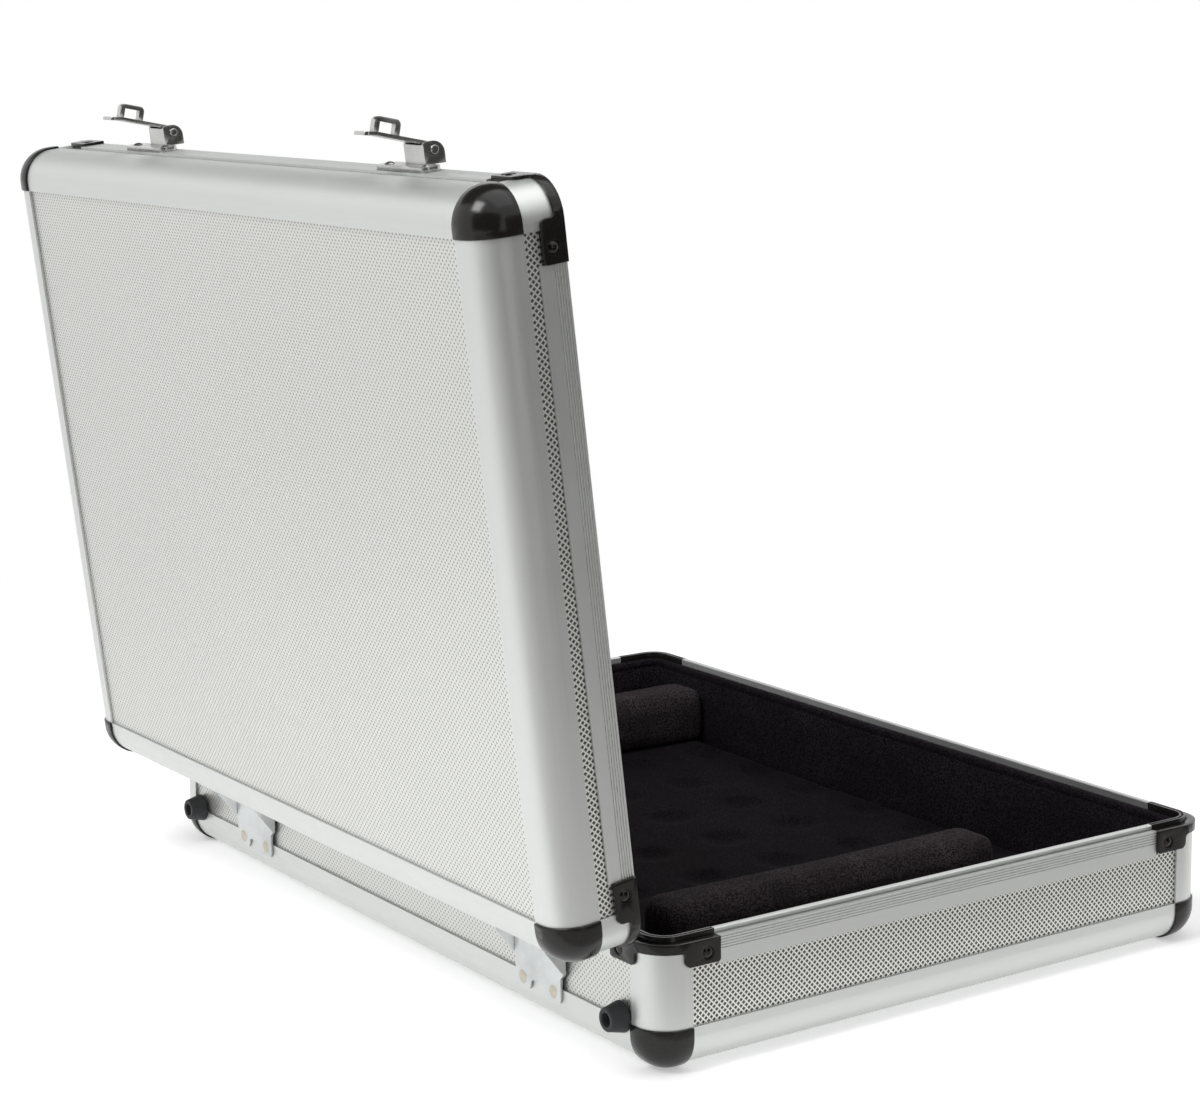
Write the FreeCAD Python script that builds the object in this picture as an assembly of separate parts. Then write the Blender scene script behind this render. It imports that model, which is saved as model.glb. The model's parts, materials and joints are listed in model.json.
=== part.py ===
import FreeCAD, Part
import math
import os

# An aluminium-framed hard case for a laptop, modelled open as it stands in use.
# X runs along the hinge line, the front with latches and handle faces -Y, +Z is up.
# The origin lies on the surface the case stands on, below the middle of the base.
# Everything is drawn with the lid shut; the lid and its levers are turned open on export.

V = FreeCAD.Vector
X_AXIS, Y_AXIS, Z_AXIS = V(1, 0, 0), V(0, 1, 0), V(0, 0, 1)
ORIGIN = V(0, 0, 0)

# Turns, in degrees
eighth_turn = 45.0
quarter_turn = 90.0
half_turn = 180.0
full_turn = 360.0

# Driving sizes of the whole case, in millimetres
case_width = 420.0
case_depth = 298.0
base_height = 53.6
lid_height = 35.6
open_angle = 96.3
closing_gap = 0.3

# Aluminium extrusions
metal_thickness = 1.2
inner_web = 1.0
panel_fit = 0.05
outer_radius = 14.0
face_flange = 17.5
wall_flange = 18.2
column_flange = 17.5
inner_flange_step = 2.0

# Panels: a board with a thin embossed sheet on its outer face
skin_thickness = 0.5
board_thickness = 3.0

# Moulded corner balls
corner_proud = 0.9

# Rim extrusions, base with a tongue and lid with a rebate
rim_height = 11.8
rim_roof = 4.0
lip_width = 2.4
lip_groove_depth = 0.8
tongue_inset = 3.2
tongue_height = 2.0
tongue_chamfer = 0.4
rebate_fit = 0.3
rebate_depth = 2.5
flute_count = 5
flute_start = 0.7
flute_pitch = 1.15
flute_width = 0.6
flute_depth = 0.35

# Moulded rim corners with two riveted tabs each
rim_corner_leg = 30.2
rim_corner_proud = 1.2
tab_start = 13.4
tab_depth = 10.2
tab_round = 2.5
tab_shoulder = 2.0
ridge_groove_start = 4.0
ridge_groove_width = 0.9
ridge_groove_depth = 1.2
tab_rivet_place = 24.2
tab_rivet_drop = 5.7
tab_recess_radius = 2.9
tab_recess_depth = 0.5

# Rivets and screws
rivet_shank_radius = 1.4
rivet_head_radius = 2.4
rivet_head_height = 0.9
big_rivet_head_radius = 3.0
big_rivet_head_height = 0.9
hole_clearance = 0.1

# Hinges: two stamped leaves each, with folded ears round one pin
hinge_inset = 83.5
hinge_back = 3.7
hinge_drop = 2.05
leaf_thickness = 1.2
ear_thickness = 1.5
ear_outer_half = 19.5
ear_play = 0.3
ear_reach = 3.3
ear_length = 26.2
ear_elbow_reach = 6.3
ear_elbow_drop = 15.0
ear_neck_drop = 7.0
tongue_half = 17.0
leaf_bottom = 11.8
leaf_edge_gap = 0.2
leaf_corner_round = 3.0
tab_notch_half = 5.6
tab_notch_rise = 5.0
tab_notch_round = 2.5
pin_radius = 1.1
running_fit = 0.05
pin_head_radius = 2.1
pin_head_length = 0.8
heel_gap = 0.3
lid_ear_length = 14.0
lid_ear_shoulder = 8.0
lid_leaf_start = 0.6
lid_leaf_top = 24.0
hinge_rivet_half_pitch = 11.5
hinge_rivet_height = 16.2

# Rubber feet on the rear wall
foot_offset = 24.2
foot_height = 19.6
foot_base_radius = 6.7
foot_tip_radius = 5.0
foot_edge_round = 0.8
foot_reach = 7.8
foot_recess_radius = 2.9
foot_recess_depth = 4.4
foot_screw_head_radius = 2.6
foot_screw_head_height = 1.5
foot_screw_shank_radius = 1.5

# Latches on the lid: bracket, pin and hasp lever with its staple
latch_inset = 95.6
latch_plate_half = 19.0
latch_plate_depth = 9.2
latch_plate_thickness = 2.0
latch_screw_half_pitch = 14.0
cheek_half = 7.5
cheek_thickness = 1.4
cheek_start = -6.4
cheek_end = 2.9
cheek_base = 1.4
cheek_height = 10.4
cheek_round = 5.0
web_thickness = 1.2
web_gap = 0.3
latch_pin_radius = 1.2
latch_pin_place = -1.8
latch_pin_height = 7.0
latch_open_slope = 17.5
lever_play = 0.3
knuckle_radius = 2.8
lever_half = 5.0
lever_thickness = 1.5
lever_tip_length = 5.4
lever_tip_bend = 8.0
lever_round = 2.0
staple_lead = 1.8
staple_length_share = 0.54
staple_height = 6.2
staple_band = 3.0
staple_leg = 2.3
staple_bar = 1.9
staple_round = 2.2

# Locks on the base's front wall
lock_half = 23.0
lock_rim_gap = 0.5
lock_flange_gap = 1.7
lock_gap = 0.35
lock_round = 3.0
slot_half = 3.0
slot_clearance = 1.0
pocket_clearance = 1.0
bolt_rest = 2.3
bolt_back = 14.0
bolt_width_share = 0.346
bolt_thickness = 2.4
bolt_travel = 4.6
bolt_play = 0.3
bolt_staple_gap = 0.15
button_stem_half = 2.0
button_centre = 9.4
button_half = 3.2
button_length_share = 0.42
button_height = 1.6
button_round = 0.5
lock_spring_radius = 1.1
lock_spring_wire = 0.45
lock_end_wall = 1.2
lock_rivet_half_pitch = 20.4

# Carrying handle on the base's front wall
handle_lock_gap = 18.4
handle_pivot_out = 7.6
handle_drop = 24.0
handle_arm_half = 4.0
handle_arm_depth = 8.0
handle_grip_height = 16.0
handle_grip_depth = 12.4
handle_grip_round = 5.4
handle_bend_radius = 12.0
handle_eye_radius = 4.4
handle_pin_radius = 1.6
handle_lug_thickness = 1.5
handle_lug_gap = 0.3
handle_plate_half = 11.0
handle_plate_short = 5.4
handle_plate_thickness = 1.2
handle_lug_round = 4.0
handle_rivet_half_pitch = 8.3

# Lining, floor pad and padded dividers
lining_gap = 0.2
lining_thickness = 3.0
lining_top_drop = 1.0
pad_gap = 0.3
pad_thickness = 10.0
pad_round = 5.0
dimple_pitch_x = 45.0
dimple_pitch_y = 44.0
dimple_columns = 9
dimple_rows = 6
dimple_shift_x = -4.0
dimple_shift_y = -14.0
dimple_radius = 26.0
dimple_depth = 3.6
divider_width = 28.0
divider_length_share = 0.5973
divider_top_drop = 9.0
divider_seat_gap = 0.2
divider_left_inset = 72.0
divider_left_shift_share = 0.03
divider_right_inset = 44.0
divider_end_gap = 1.0
divider_round = 7.0
divider_levels_share = (0.0, 0.35, 0.8, 0.93, 1.0)
divider_inset_share = (0.05, 0.0, 0.02, 0.12, 0.3)
lid_pad_thickness = 8.0
lid_pad_inset = 12.0
lid_pad_levels_share = (0.0, 0.5, 0.85, 1.0)
lid_pad_inset_share = (0.0, 0.0, 0.3, 1.0)

# One overrun for every cut that passes right through
overrun = 2.0

# Sizes worked out from those above
channel = skin_thickness + board_thickness + 2 * panel_fit
web_inner = metal_thickness + channel
stack = web_inner + inner_web
half_width = case_width / 2
half_depth = case_depth / 2
parting = corner_proud + base_height
lid_floor = parting + closing_gap
hinge_y = half_depth + hinge_back
hinge_z = parting - hinge_drop
lining_outer = stack + lining_gap
lining_inner = lining_outer + lining_thickness
skin_face = metal_thickness + panel_fit
hinge_offset = half_width - hinge_inset
latch_offset = half_width - latch_inset
latch_plate_start = cheek_end - web_thickness
divider_length = divider_length_share * case_depth
divider_left_x = divider_left_inset - half_width
divider_left_y = divider_left_shift_share * case_depth
divider_right_x = half_width - divider_right_inset
divider_right_y = lining_inner + divider_end_gap + divider_length / 2 - half_depth

# The lock lies between the rim and the edge's flange, the staple comes in near its top
# and the lever ends a tip's length below the staple
lock_top = rim_height + lock_rim_gap
lock_length = base_height - lock_top - wall_flange - lock_flange_gap
staple_top_drop = lock_top + staple_lead
staple_length = staple_length_share * lock_length
staple_bottom_drop = staple_top_drop + staple_length
staple_start = staple_top_drop + latch_pin_place + closing_gap
lever_length = staple_start + staple_length + lever_tip_length
lever_back = knuckle_radius - lever_thickness
lever_inner = latch_pin_height - knuckle_radius
lock_face = lever_inner - lock_gap
bolt_middle_drop = (staple_top_drop + staple_bottom_drop) / 2
bolt_width = bolt_width_share * staple_length
bolt_floor = lever_inner - staple_height + staple_bar + bolt_staple_gap
bolt_top = bolt_floor + bolt_thickness
button_length = button_length_share * lock_length

# The handle's plates sit between the locks, as high on the wall as the locks do
handle_plate_height = lock_length - handle_plate_short
handle_pivot_drop = lock_top + handle_plate_height / 2
handle_half = latch_offset - lock_half - handle_lock_gap - handle_plate_half


def box(low, high):
    """A block between two corners."""
    return Part.makeBox(high[0] - low[0], high[1] - low[1], high[2] - low[2], V(*low))


def rod(radius, start, end):
    """A round bar between two points."""
    line = V(*end) - V(*start)
    return Part.makeCylinder(radius, line.Length, V(*start), line)


def outline(items, lift):
    """A flat face from 2D points; an entry of two points is an arc through the first to the second."""
    edges = []
    here = items[0]
    for item in list(items[1:]) + [items[0]]:
        if isinstance(item[0], tuple):
            through, end = item
            edges.append(Part.Arc(lift(*here), lift(*through), lift(*end)).toShape())
            here = end
        elif item != here:
            edges.append(Part.LineSegment(lift(*here), lift(*item)).toShape())
            here = item
    return Part.Face(Part.Wire(edges))


def arc_through(centre, radius, degrees):
    """A point on a circle, for the middle or end of an arc."""
    angle = math.radians(degrees)
    return (centre[0] + radius * math.cos(angle), centre[1] + radius * math.sin(angle))


def turned(shape, degrees, centre=ORIGIN, axis=Z_AXIS):
    """A turned copy."""
    copy = shape.copy()
    copy.rotate(centre, axis, degrees)
    return copy


def moved(shape, x, y, z):
    """A shifted copy."""
    copy = shape.copy()
    copy.translate(V(x, y, z))
    return copy


def edges_at(shape, point, direction=None):
    """The straight edges that end at a corner point, all of them or those along one direction."""
    found = []
    for edge in shape.Edges:
        ends = [v.Point for v in edge.Vertexes]
        if len(ends) != 2 or min((p - V(*point)).Length for p in ends) > metal_thickness / 10:
            continue
        run = (ends[1] - ends[0]).normalize()
        if direction is None or abs(run.dot(direction)) > math.cos(math.radians(1)):
            found.append(edge)
    return found


def rounded_wire(half_x, half_y, radius, z):
    """A rectangle with round corners, as a wire at one height."""
    side = []
    for turn, (cx, cy) in enumerate(
        [(half_x - radius, half_y - radius), (radius - half_x, half_y - radius),
         (radius - half_x, radius - half_y), (half_x - radius, radius - half_y)]
    ):
        start = arc_through((cx, cy), radius, quarter_turn * turn)
        middle = arc_through((cx, cy), radius, quarter_turn * turn + eighth_turn)
        end = arc_through((cx, cy), radius, quarter_turn * (turn + 1))
        side.append((start, middle, end))
    edges = []
    for turn, (start, middle, end) in enumerate(side):
        edges.append(Part.Arc(V(*start, z), V(*middle, z), V(*end, z)).toShape())
        following = side[(turn + 1) % len(side)][0]
        edges.append(Part.LineSegment(V(*end, z), V(*following, z)).toShape())
    return Part.Wire(edges)


def angle_points(first, second):
    """The section of an angle extrusion: two outer flanges, two channels and an inner web."""
    radius = outer_radius
    return [
        (first, 0.0), (radius, 0.0),
        (arc_through((radius, radius), radius, half_turn + eighth_turn), (0.0, radius)),
        (0.0, second), (metal_thickness, second), (metal_thickness, radius), (web_inner, radius),
        (web_inner, second - inner_flange_step), (stack, second - inner_flange_step),
        (stack, stack), (first - inner_flange_step, stack),
        (first - inner_flange_step, web_inner), (radius, web_inner), (radius, metal_thickness),
        (first, metal_thickness),
    ]


def flute_points():
    """The notches down the outer face of a rim, from the lowest to the top one."""
    points = []
    for index in reversed(range(flute_count)):
        top = flute_start + index * flute_pitch
        points += [
            (0.0, top + flute_width), (flute_depth, top + flute_width / 2), (0.0, top),
        ]
    return points


def rim_points(male):
    """The section of a rim extrusion, measured inwards and away from the parting plane."""
    if male:
        crest = -tongue_height
        top = [
            (0.0, 0.0), (lip_width, 0.0), (lip_width, lip_groove_depth),
            (tongue_inset, lip_groove_depth), (tongue_inset, crest + tongue_chamfer),
            (tongue_inset + tongue_chamfer, crest), (stack - tongue_chamfer, crest),
            (stack, crest + tongue_chamfer),
        ]
    else:
        inset = tongue_inset - rebate_fit
        top = [(0.0, 0.0), (inset, 0.0), (inset, rebate_depth), (stack, rebate_depth)]
    foot = rim_height - inner_flange_step
    sides = [
        (stack, foot), (web_inner, foot), (web_inner, rim_roof), (metal_thickness, rim_roof),
        (metal_thickness, rim_height), (0.0, rim_height),
    ]
    return top + sides + flute_points()


def along_wall(points, half, length, lift_v):
    """A bar of a given section lying along a wall that faces -Y, centred on X."""
    face = outline(points, lambda u, v: V(-length / 2, u - half, lift_v(v)))
    return face.extrude(V(length, 0, 0))


def four_sides():
    """Name, turn, distance from the middle and run of each wall."""
    return [
        ("front", 0, half_depth, case_width), ("right", quarter_turn, half_width, case_depth),
        ("rear", half_turn, half_depth, case_width), ("left", -quarter_turn, half_width, case_depth),
    ]


def at_corners(shape):
    """Four copies of a piece drawn inwards from one corner."""
    corners = [
        (-half_width, -half_depth, 0), (half_width, -half_depth, quarter_turn),
        (half_width, half_depth, half_turn), (-half_width, half_depth, -quarter_turn),
    ]
    return [moved(turned(shape, turn), x, y, 0) for x, y, turn in corners]


def both_legs(shape):
    """A piece on one leg of a corner and its mirror on the other leg."""
    return [shape, shape.mirror(ORIGIN, V(1, -1, 0))]


def wall_panel(half, run, height):
    """A panel held in the channels of its edge, columns and rim."""
    end = run / 2 - outer_radius - panel_fit
    return box(
        (-end, skin_face - half, outer_radius + panel_fit),
        (end, skin_face + skin_thickness + board_thickness - half, height - rim_roof - panel_fit),
    )


def face_plate(start, thickness):
    """The skin or the board of the large face."""
    inset = outer_radius + panel_fit
    return box(
        (inset - half_width, inset - half_depth, start),
        (half_width - inset, half_depth - inset, start + thickness),
    )


def corner_column(height):
    """An upright angle extrusion at a corner."""
    face = outline(angle_points(column_flange, column_flange),
                   lambda u, v: V(u, v, wall_flange))
    return face.extrude(V(0, 0, height - rim_roof - wall_flange))


def corner_ball():
    """A domed shell over one corner, drawn inwards from the corner point."""
    low = (-corner_proud,) * 3
    high = (face_flange, face_flange, wall_flange)
    outer = box(low, high)
    outer = outer.makeFillet(outer_radius + corner_proud, edges_at(outer, low))
    inner_low = (metal_thickness,) * 3
    inner_high = tuple(value + overrun for value in high)
    inner = box(inner_low, inner_high)
    inner = inner.makeFillet(outer_radius - metal_thickness, edges_at(inner, inner_low))
    return outer.cut(inner)


def corner_ring(outside, inside, top, bottom):
    """An L with a round heel, between two distances from the walls and two heights."""
    low = (outside, outside, bottom)
    outer = box(low, (rim_corner_leg, rim_corner_leg, top))
    outer = outer.makeFillet(outer_radius - outside, edges_at(outer, low, Z_AXIS))
    inner_low = (inside, inside, bottom - overrun)
    end = rim_corner_leg + overrun
    inner = box(inner_low, (end, end, top + overrun))
    inner = inner.makeFillet(outer_radius - inside, edges_at(inner, inner_low, Z_AXIS))
    return outer.cut(inner)


def tab_outline(height, depth_from):
    """The face of a tab, drawn along one leg below the rim."""
    low = height - tab_depth
    shoulder = height - rim_roof
    bend = (tab_start - tab_shoulder, shoulder - tab_shoulder)
    heel = (tab_start + tab_round, low + tab_round)
    toe_round = tab_round / 2
    toe = (rim_corner_leg - toe_round, low + toe_round)
    return outline(
        [
            (bend[0], height - rim_roof / 2), (bend[0], shoulder),
            (arc_through(bend, tab_shoulder, eighth_turn), (tab_start, bend[1])),
            (tab_start, heel[1]), (arc_through(heel, tab_round, half_turn + eighth_turn), (heel[0], low)),
            (toe[0], low), (arc_through(toe, toe_round, -eighth_turn), (rim_corner_leg, toe[1])),
            (rim_corner_leg, height - rim_roof / 2),
        ],
        lambda a, z: V(a, depth_from, z),
    )


def rivet(head_radius, head_height, shank_radius, shank_length):
    """A domed rivet whose head rises from z=0 and whose shank runs down."""
    sphere = (head_radius ** 2 + head_height ** 2) / (2 * head_height)
    middle = head_height - sphere
    lean = math.asin(head_radius / sphere) / 2
    through = (sphere * math.sin(lean), middle + sphere * math.cos(lean))
    face = outline(
        [
            (0.0, head_height), (through, (head_radius, 0.0)), (shank_radius, 0.0),
            (shank_radius, -shank_length), (0.0, -shank_length),
        ],
        lambda r, z: V(r, 0, z),
    )
    return face.revolve(ORIGIN, Z_AXIS, full_turn)


def facing_front(shape, x, y, z):
    """A piece drawn along +Z, turned to face -Y and put in place."""
    return moved(turned(shape, quarter_turn, ORIGIN, X_AXIS), x, y, z)


def facing_rear(shape, x, y, z):
    """A piece drawn along +Z, turned to face +Y and put in place."""
    return moved(turned(shape, -quarter_turn, ORIGIN, X_AXIS), x, y, z)


def rim_corner(height, male):
    """A moulded corner of the rim with its two tabs."""
    piece = corner_ring(-rim_corner_proud, stack, height, height - rim_roof)
    if male:
        tongue = corner_ring(tongue_inset, stack, height + tongue_height, height - rim_roof / 2)
        piece = piece.fuse(tongue)
        groove_end = ridge_groove_start + ridge_groove_width
        crest = height + tongue_height
        piece = piece.cut(corner_ring(
            ridge_groove_start, groove_end, crest + overrun, crest - ridge_groove_depth))
        piece = piece.cut(corner_ring(
            lip_width, tongue_inset, height + overrun, height - lip_groove_depth))
    else:
        inset = tongue_inset - rebate_fit
        piece = piece.cut(corner_ring(
            inset, stack + overrun, height + overrun, height - rebate_depth))
    tab = tab_outline(height, -rim_corner_proud).extrude(V(0, rim_corner_proud + metal_thickness, 0))
    tab = tab.cut(box(
        (0.0, 0.0, height - tab_depth - overrun),
        (column_flange + hole_clearance, metal_thickness + overrun, height - rim_roof)))
    inner_leg = box(
        (column_flange + hole_clearance, web_inner, height - rim_height + inner_flange_step),
        (rim_corner_leg, stack, height - rim_roof / 2))
    drop = height - tab_rivet_drop
    recess = rod(tab_recess_radius, (tab_rivet_place, -rim_corner_proud - overrun, drop),
                 (tab_rivet_place, tab_recess_depth - rim_corner_proud, drop))
    hole = rod(rivet_shank_radius + hole_clearance,
               (tab_rivet_place, -rim_corner_proud - overrun, drop),
               (tab_rivet_place, stack + overrun, drop))
    for extra in both_legs(tab) + both_legs(inner_leg):
        piece = piece.fuse(extra)
    for cutter in both_legs(recess) + both_legs(hole):
        piece = piece.cut(cutter)
    return piece.removeSplitter()


def corner_rivets(height):
    """The two tab rivets of one rim corner."""
    seat = tab_recess_depth - rim_corner_proud
    one = rivet(rivet_head_radius, rivet_head_height, rivet_shank_radius, stack - seat)
    placed = facing_front(one, tab_rivet_place, seat, height - tab_rivet_drop)
    return both_legs(placed)


def lining(height, floor):
    """Foam-backed fabric round the walls: four slabs and a bend in each corner."""
    top = height - lining_top_drop
    slabs = []
    for _, turn, half, run in four_sides():
        end = run / 2 - outer_radius
        slab = box((-end, lining_outer - half, floor), (end, lining_inner - half, top))
        slabs.append(turned(slab, turn))
    centre = V(outer_radius, outer_radius, floor)
    bend = Part.makeCylinder(outer_radius - lining_outer, top - floor, centre)
    bend = bend.cut(Part.makeCylinder(outer_radius - lining_inner, top - floor, centre))
    corner = box((0.0, 0.0, floor), (outer_radius, outer_radius, top))
    return slabs + at_corners(bend.common(corner))


def shell(name, height, male):
    """Every piece of one half of the case, drawn with its large face on z=0 and its rim up."""
    pieces = {}
    long_rims, short_rims = [], []
    for side, turn, half, run in four_sides():
        edge = along_wall(angle_points(face_flange, wall_flange), half,
                          run - 2 * face_flange, lambda v: v)
        pieces[f"{name}_edge_{side}"] = [turned(edge, turn)]
        pieces[f"{name}_wall_{side}"] = [turned(wall_panel(half, run, height), turn)]
        rim = along_wall(rim_points(male), half, run - 2 * rim_corner_leg,
                         lambda v: height - v)
        (long_rims if half == half_depth else short_rims).append(turned(rim, turn))
    pieces[f"{name}_rim_long"] = long_rims
    pieces[f"{name}_rim_short"] = short_rims
    pieces[f"{name}_corner_columns"] = at_corners(corner_column(height))
    pieces[f"{name}_ball_corners"] = at_corners(corner_ball())
    pieces[f"{name}_rim_corners"] = at_corners(rim_corner(height, male))
    rivets = []
    for one in corner_rivets(height):
        rivets += at_corners(one)
    pieces[f"{name}_rim_rivets"] = rivets
    pieces[f"{name}_face_skin"] = [face_plate(skin_face, skin_thickness)]
    pieces[f"{name}_face_board"] = [face_plate(skin_face + skin_thickness, board_thickness)]
    pieces[f"{name}_wall_lining"] = lining(height, stack + lining_gap)
    return pieces


def tab_holes(height):
    """Cutters for the tab rivets in the wall panels."""
    drop = height - tab_rivet_drop
    hole = rod(rivet_shank_radius + hole_clearance,
               (tab_rivet_place, -overrun, drop), (tab_rivet_place, stack + overrun, drop))
    cutters = []
    for one in both_legs(hole):
        cutters += at_corners(one)
    return cutters


def egg_crate_pad():
    """The floor cushion: a slab with round shoulders and rows of shallow hollows."""
    half_x = half_width - lining_inner - pad_gap
    half_y = half_depth - lining_inner - pad_gap
    bottom = corner_proud + stack + lining_gap
    top = bottom + pad_thickness
    wires = [
        rounded_wire(half_x - pad_gap, half_y - pad_gap, pad_round, bottom),
        rounded_wire(half_x, half_y, pad_round, bottom + pad_thickness / 2),
        rounded_wire(half_x - pad_gap, half_y - pad_gap, pad_round, top - pad_round / 2),
        rounded_wire(half_x - pad_round / 2, half_y - pad_round / 2, pad_round, top),
    ]
    pad = Part.makeLoft(wires, True, True)
    balls = []
    for column in range(dimple_columns):
        for row in range(dimple_rows):
            x = dimple_shift_x + (column - (dimple_columns - 1) / 2) * dimple_pitch_x
            y = dimple_shift_y + (row - (dimple_rows - 1) / 2) * dimple_pitch_y
            centre = V(x, y, top + dimple_radius - dimple_depth)
            balls.append(Part.makeSphere(dimple_radius, centre))
    return pad.cut(balls)


def divider(x, y):
    """A padded divider block with drawn-in foot and crowned top."""
    bottom = corner_proud + stack + lining_gap + pad_thickness + divider_seat_gap
    height = parting - divider_top_drop - bottom
    wires = []
    for level, inset in zip(divider_levels_share, divider_inset_share):
        shrink = inset * divider_width / 2
        wires.append(rounded_wire(
            divider_width / 2 - shrink, divider_length / 2 - shrink,
            divider_round - shrink / 2, bottom + level * height))
    return moved(Part.makeLoft(wires, True, True), x, y, 0)


def lid_pad():
    """The cushion on the inside of the lid, drawn on z=0 of the lid's own half."""
    bottom = stack + lining_gap
    half_x = half_width - lining_inner - pad_gap
    half_y = half_depth - lining_inner - pad_gap
    wires = []
    for level, inset in zip(lid_pad_levels_share, lid_pad_inset_share):
        shrink = inset * lid_pad_inset
        wires.append(rounded_wire(half_x - shrink, half_y - shrink, pad_round,
                                  bottom + level * lid_pad_thickness))
    return Part.makeLoft(wires, True, True)


def hinge_base_leaf(x):
    """The fixed leaf: a plate with two tabs on the rear wall and two folded ears round the pin."""
    back = -hinge_back
    front = back + leaf_thickness
    foot = corner_proud + leaf_bottom - hinge_z
    top = -leaf_edge_gap
    step = -ear_length
    wide = ear_outer_half
    round_ = leaf_corner_round
    toe = (tongue_half - round_, foot + round_)
    heel = (tab_notch_half + round_, foot + round_)
    notch = (tab_notch_half - tab_notch_round, foot + tab_notch_rise - tab_notch_round)
    half = [
        (0.0, foot + tab_notch_rise), (notch[0], foot + tab_notch_rise),
        (arc_through(notch, tab_notch_round, eighth_turn), (tab_notch_half, notch[1])),
        (tab_notch_half, heel[1]),
        (arc_through(heel, round_, half_turn + eighth_turn), (heel[0], foot)),
        (toe[0], foot), (arc_through(toe, round_, -eighth_turn), (tongue_half, toe[1])),
        (tongue_half, step - (wide - tongue_half)), (wide, step), (wide, top), (0.0, top),
    ]
    right = outline(half, lambda a, z: V(a, back, z)).extrude(V(0, leaf_thickness, 0))
    plate = right.fuse(right.mirror(ORIGIN, X_AXIS))
    reach = ear_reach
    crown = math.degrees(math.asin(-front / reach))
    ear_face = outline(
        [
            (front, step), (ear_elbow_reach, -ear_elbow_drop), (reach, -ear_neck_drop), (reach, 0.0),
            (arc_through((0.0, 0.0), reach, eighth_turn + crown / 2),
             arc_through((0.0, 0.0), reach, quarter_turn + crown)),
            (front, top), (back, top), (back, step),
        ],
        lambda a, z: V(wide - ear_thickness, a, z),
    )
    ear = ear_face.extrude(V(ear_thickness, 0, 0))
    leaf = plate.fuse(ear).fuse(ear.mirror(ORIGIN, X_AXIS))
    leaf = leaf.cut(rod(pin_radius + running_fit, (-wide - overrun, 0, 0), (wide + overrun, 0, 0)))
    for sign in (-1, 1):
        place = (sign * hinge_rivet_half_pitch, corner_proud + hinge_rivet_height - hinge_z)
        leaf = leaf.cut(rod(rivet_shank_radius + hole_clearance,
                            (place[0], back - overrun, place[1]),
                            (place[0], front + overrun, place[1])))
    return moved(leaf.removeSplitter(), x, hinge_y, hinge_z)


def hinge_lid_leaf(x):
    """The moving leaf: a plate on the lid's rear wall with two ears whose heels stop the lid."""
    back = -hinge_back
    front = back + leaf_thickness
    outer = ear_outer_half - ear_thickness - ear_play
    top = lid_floor + lid_leaf_top - hinge_z
    plate = box((-outer, back, lid_leaf_start), (outer, front, top))
    plate = plate.makeFillet(leaf_corner_round, [
        e for e in plate.Edges
        if e.BoundBox.YLength > leaf_thickness / 2 and e.BoundBox.XLength < overrun
        and e.BoundBox.ZLength < overrun and e.BoundBox.ZMin > top - overrun
    ])
    heel = -front - heel_gap
    lean = math.radians(open_angle)
    touch = (-heel * math.cos(lean), -heel * math.sin(lean))
    run = (ear_reach - touch[0]) / math.sin(lean)
    corner = (ear_reach, touch[1] - run * math.cos(lean))
    touch_angle = math.degrees(math.atan2(touch[1], touch[0]))
    ear_face = outline(
        [
            (front, lid_ear_length), (ear_reach, lid_ear_shoulder), corner, touch,
            (arc_through((0.0, 0.0), heel, (touch_angle - half_turn) / 2), (-heel, 0.0)),
            (front, lid_leaf_start), (back, lid_leaf_start), (back, lid_ear_length),
        ],
        lambda a, z: V(outer - ear_thickness, a, z),
    )
    ear = ear_face.extrude(V(ear_thickness, 0, 0))
    leaf = plate.fuse(ear).fuse(ear.mirror(ORIGIN, X_AXIS))
    leaf = leaf.cut(rod(pin_radius + running_fit, (-outer - overrun, 0, 0), (outer + overrun, 0, 0)))
    for sign in (-1, 1):
        place = (sign * hinge_rivet_half_pitch, lid_floor + lid_height - hinge_rivet_height - hinge_z)
        leaf = leaf.cut(rod(rivet_shank_radius + hole_clearance,
                            (place[0], back - overrun, place[1]),
                            (place[0], front + overrun, place[1])))
    return moved(leaf.removeSplitter(), x, hinge_y, hinge_z)


def headed_pin(radius, half, head_radius, head_length):
    """A pin along X with a flat head at each end."""
    pin = rod(radius, (-half, 0, 0), (half, 0, 0))
    for sign in (-1, 1):
        pin = pin.fuse(rod(head_radius, (sign * half, 0, 0), (sign * (half + head_length), 0, 0)))
    return pin.removeSplitter()


def hinge_rivets(z):
    """The rivets that hold two leaves, as drawn at one height of the rear wall."""
    one = rivet(big_rivet_head_radius, big_rivet_head_height, rivet_shank_radius,
                leaf_thickness + stack)
    placed = []
    for x in (-hinge_offset, hinge_offset):
        for sign in (-1, 1):
            placed.append(facing_rear(one, x + sign * hinge_rivet_half_pitch,
                                      half_depth + leaf_thickness, z))
    return placed


def hinge_rivet_holes(z):
    """Cutters for those rivets."""
    cutters = []
    for x in (-hinge_offset, hinge_offset):
        for sign in (-1, 1):
            place = x + sign * hinge_rivet_half_pitch
            cutters.append(rod(rivet_shank_radius + hole_clearance,
                               (place, half_depth - stack - overrun, z),
                               (place, half_depth + overrun, z)))
    return cutters


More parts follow.
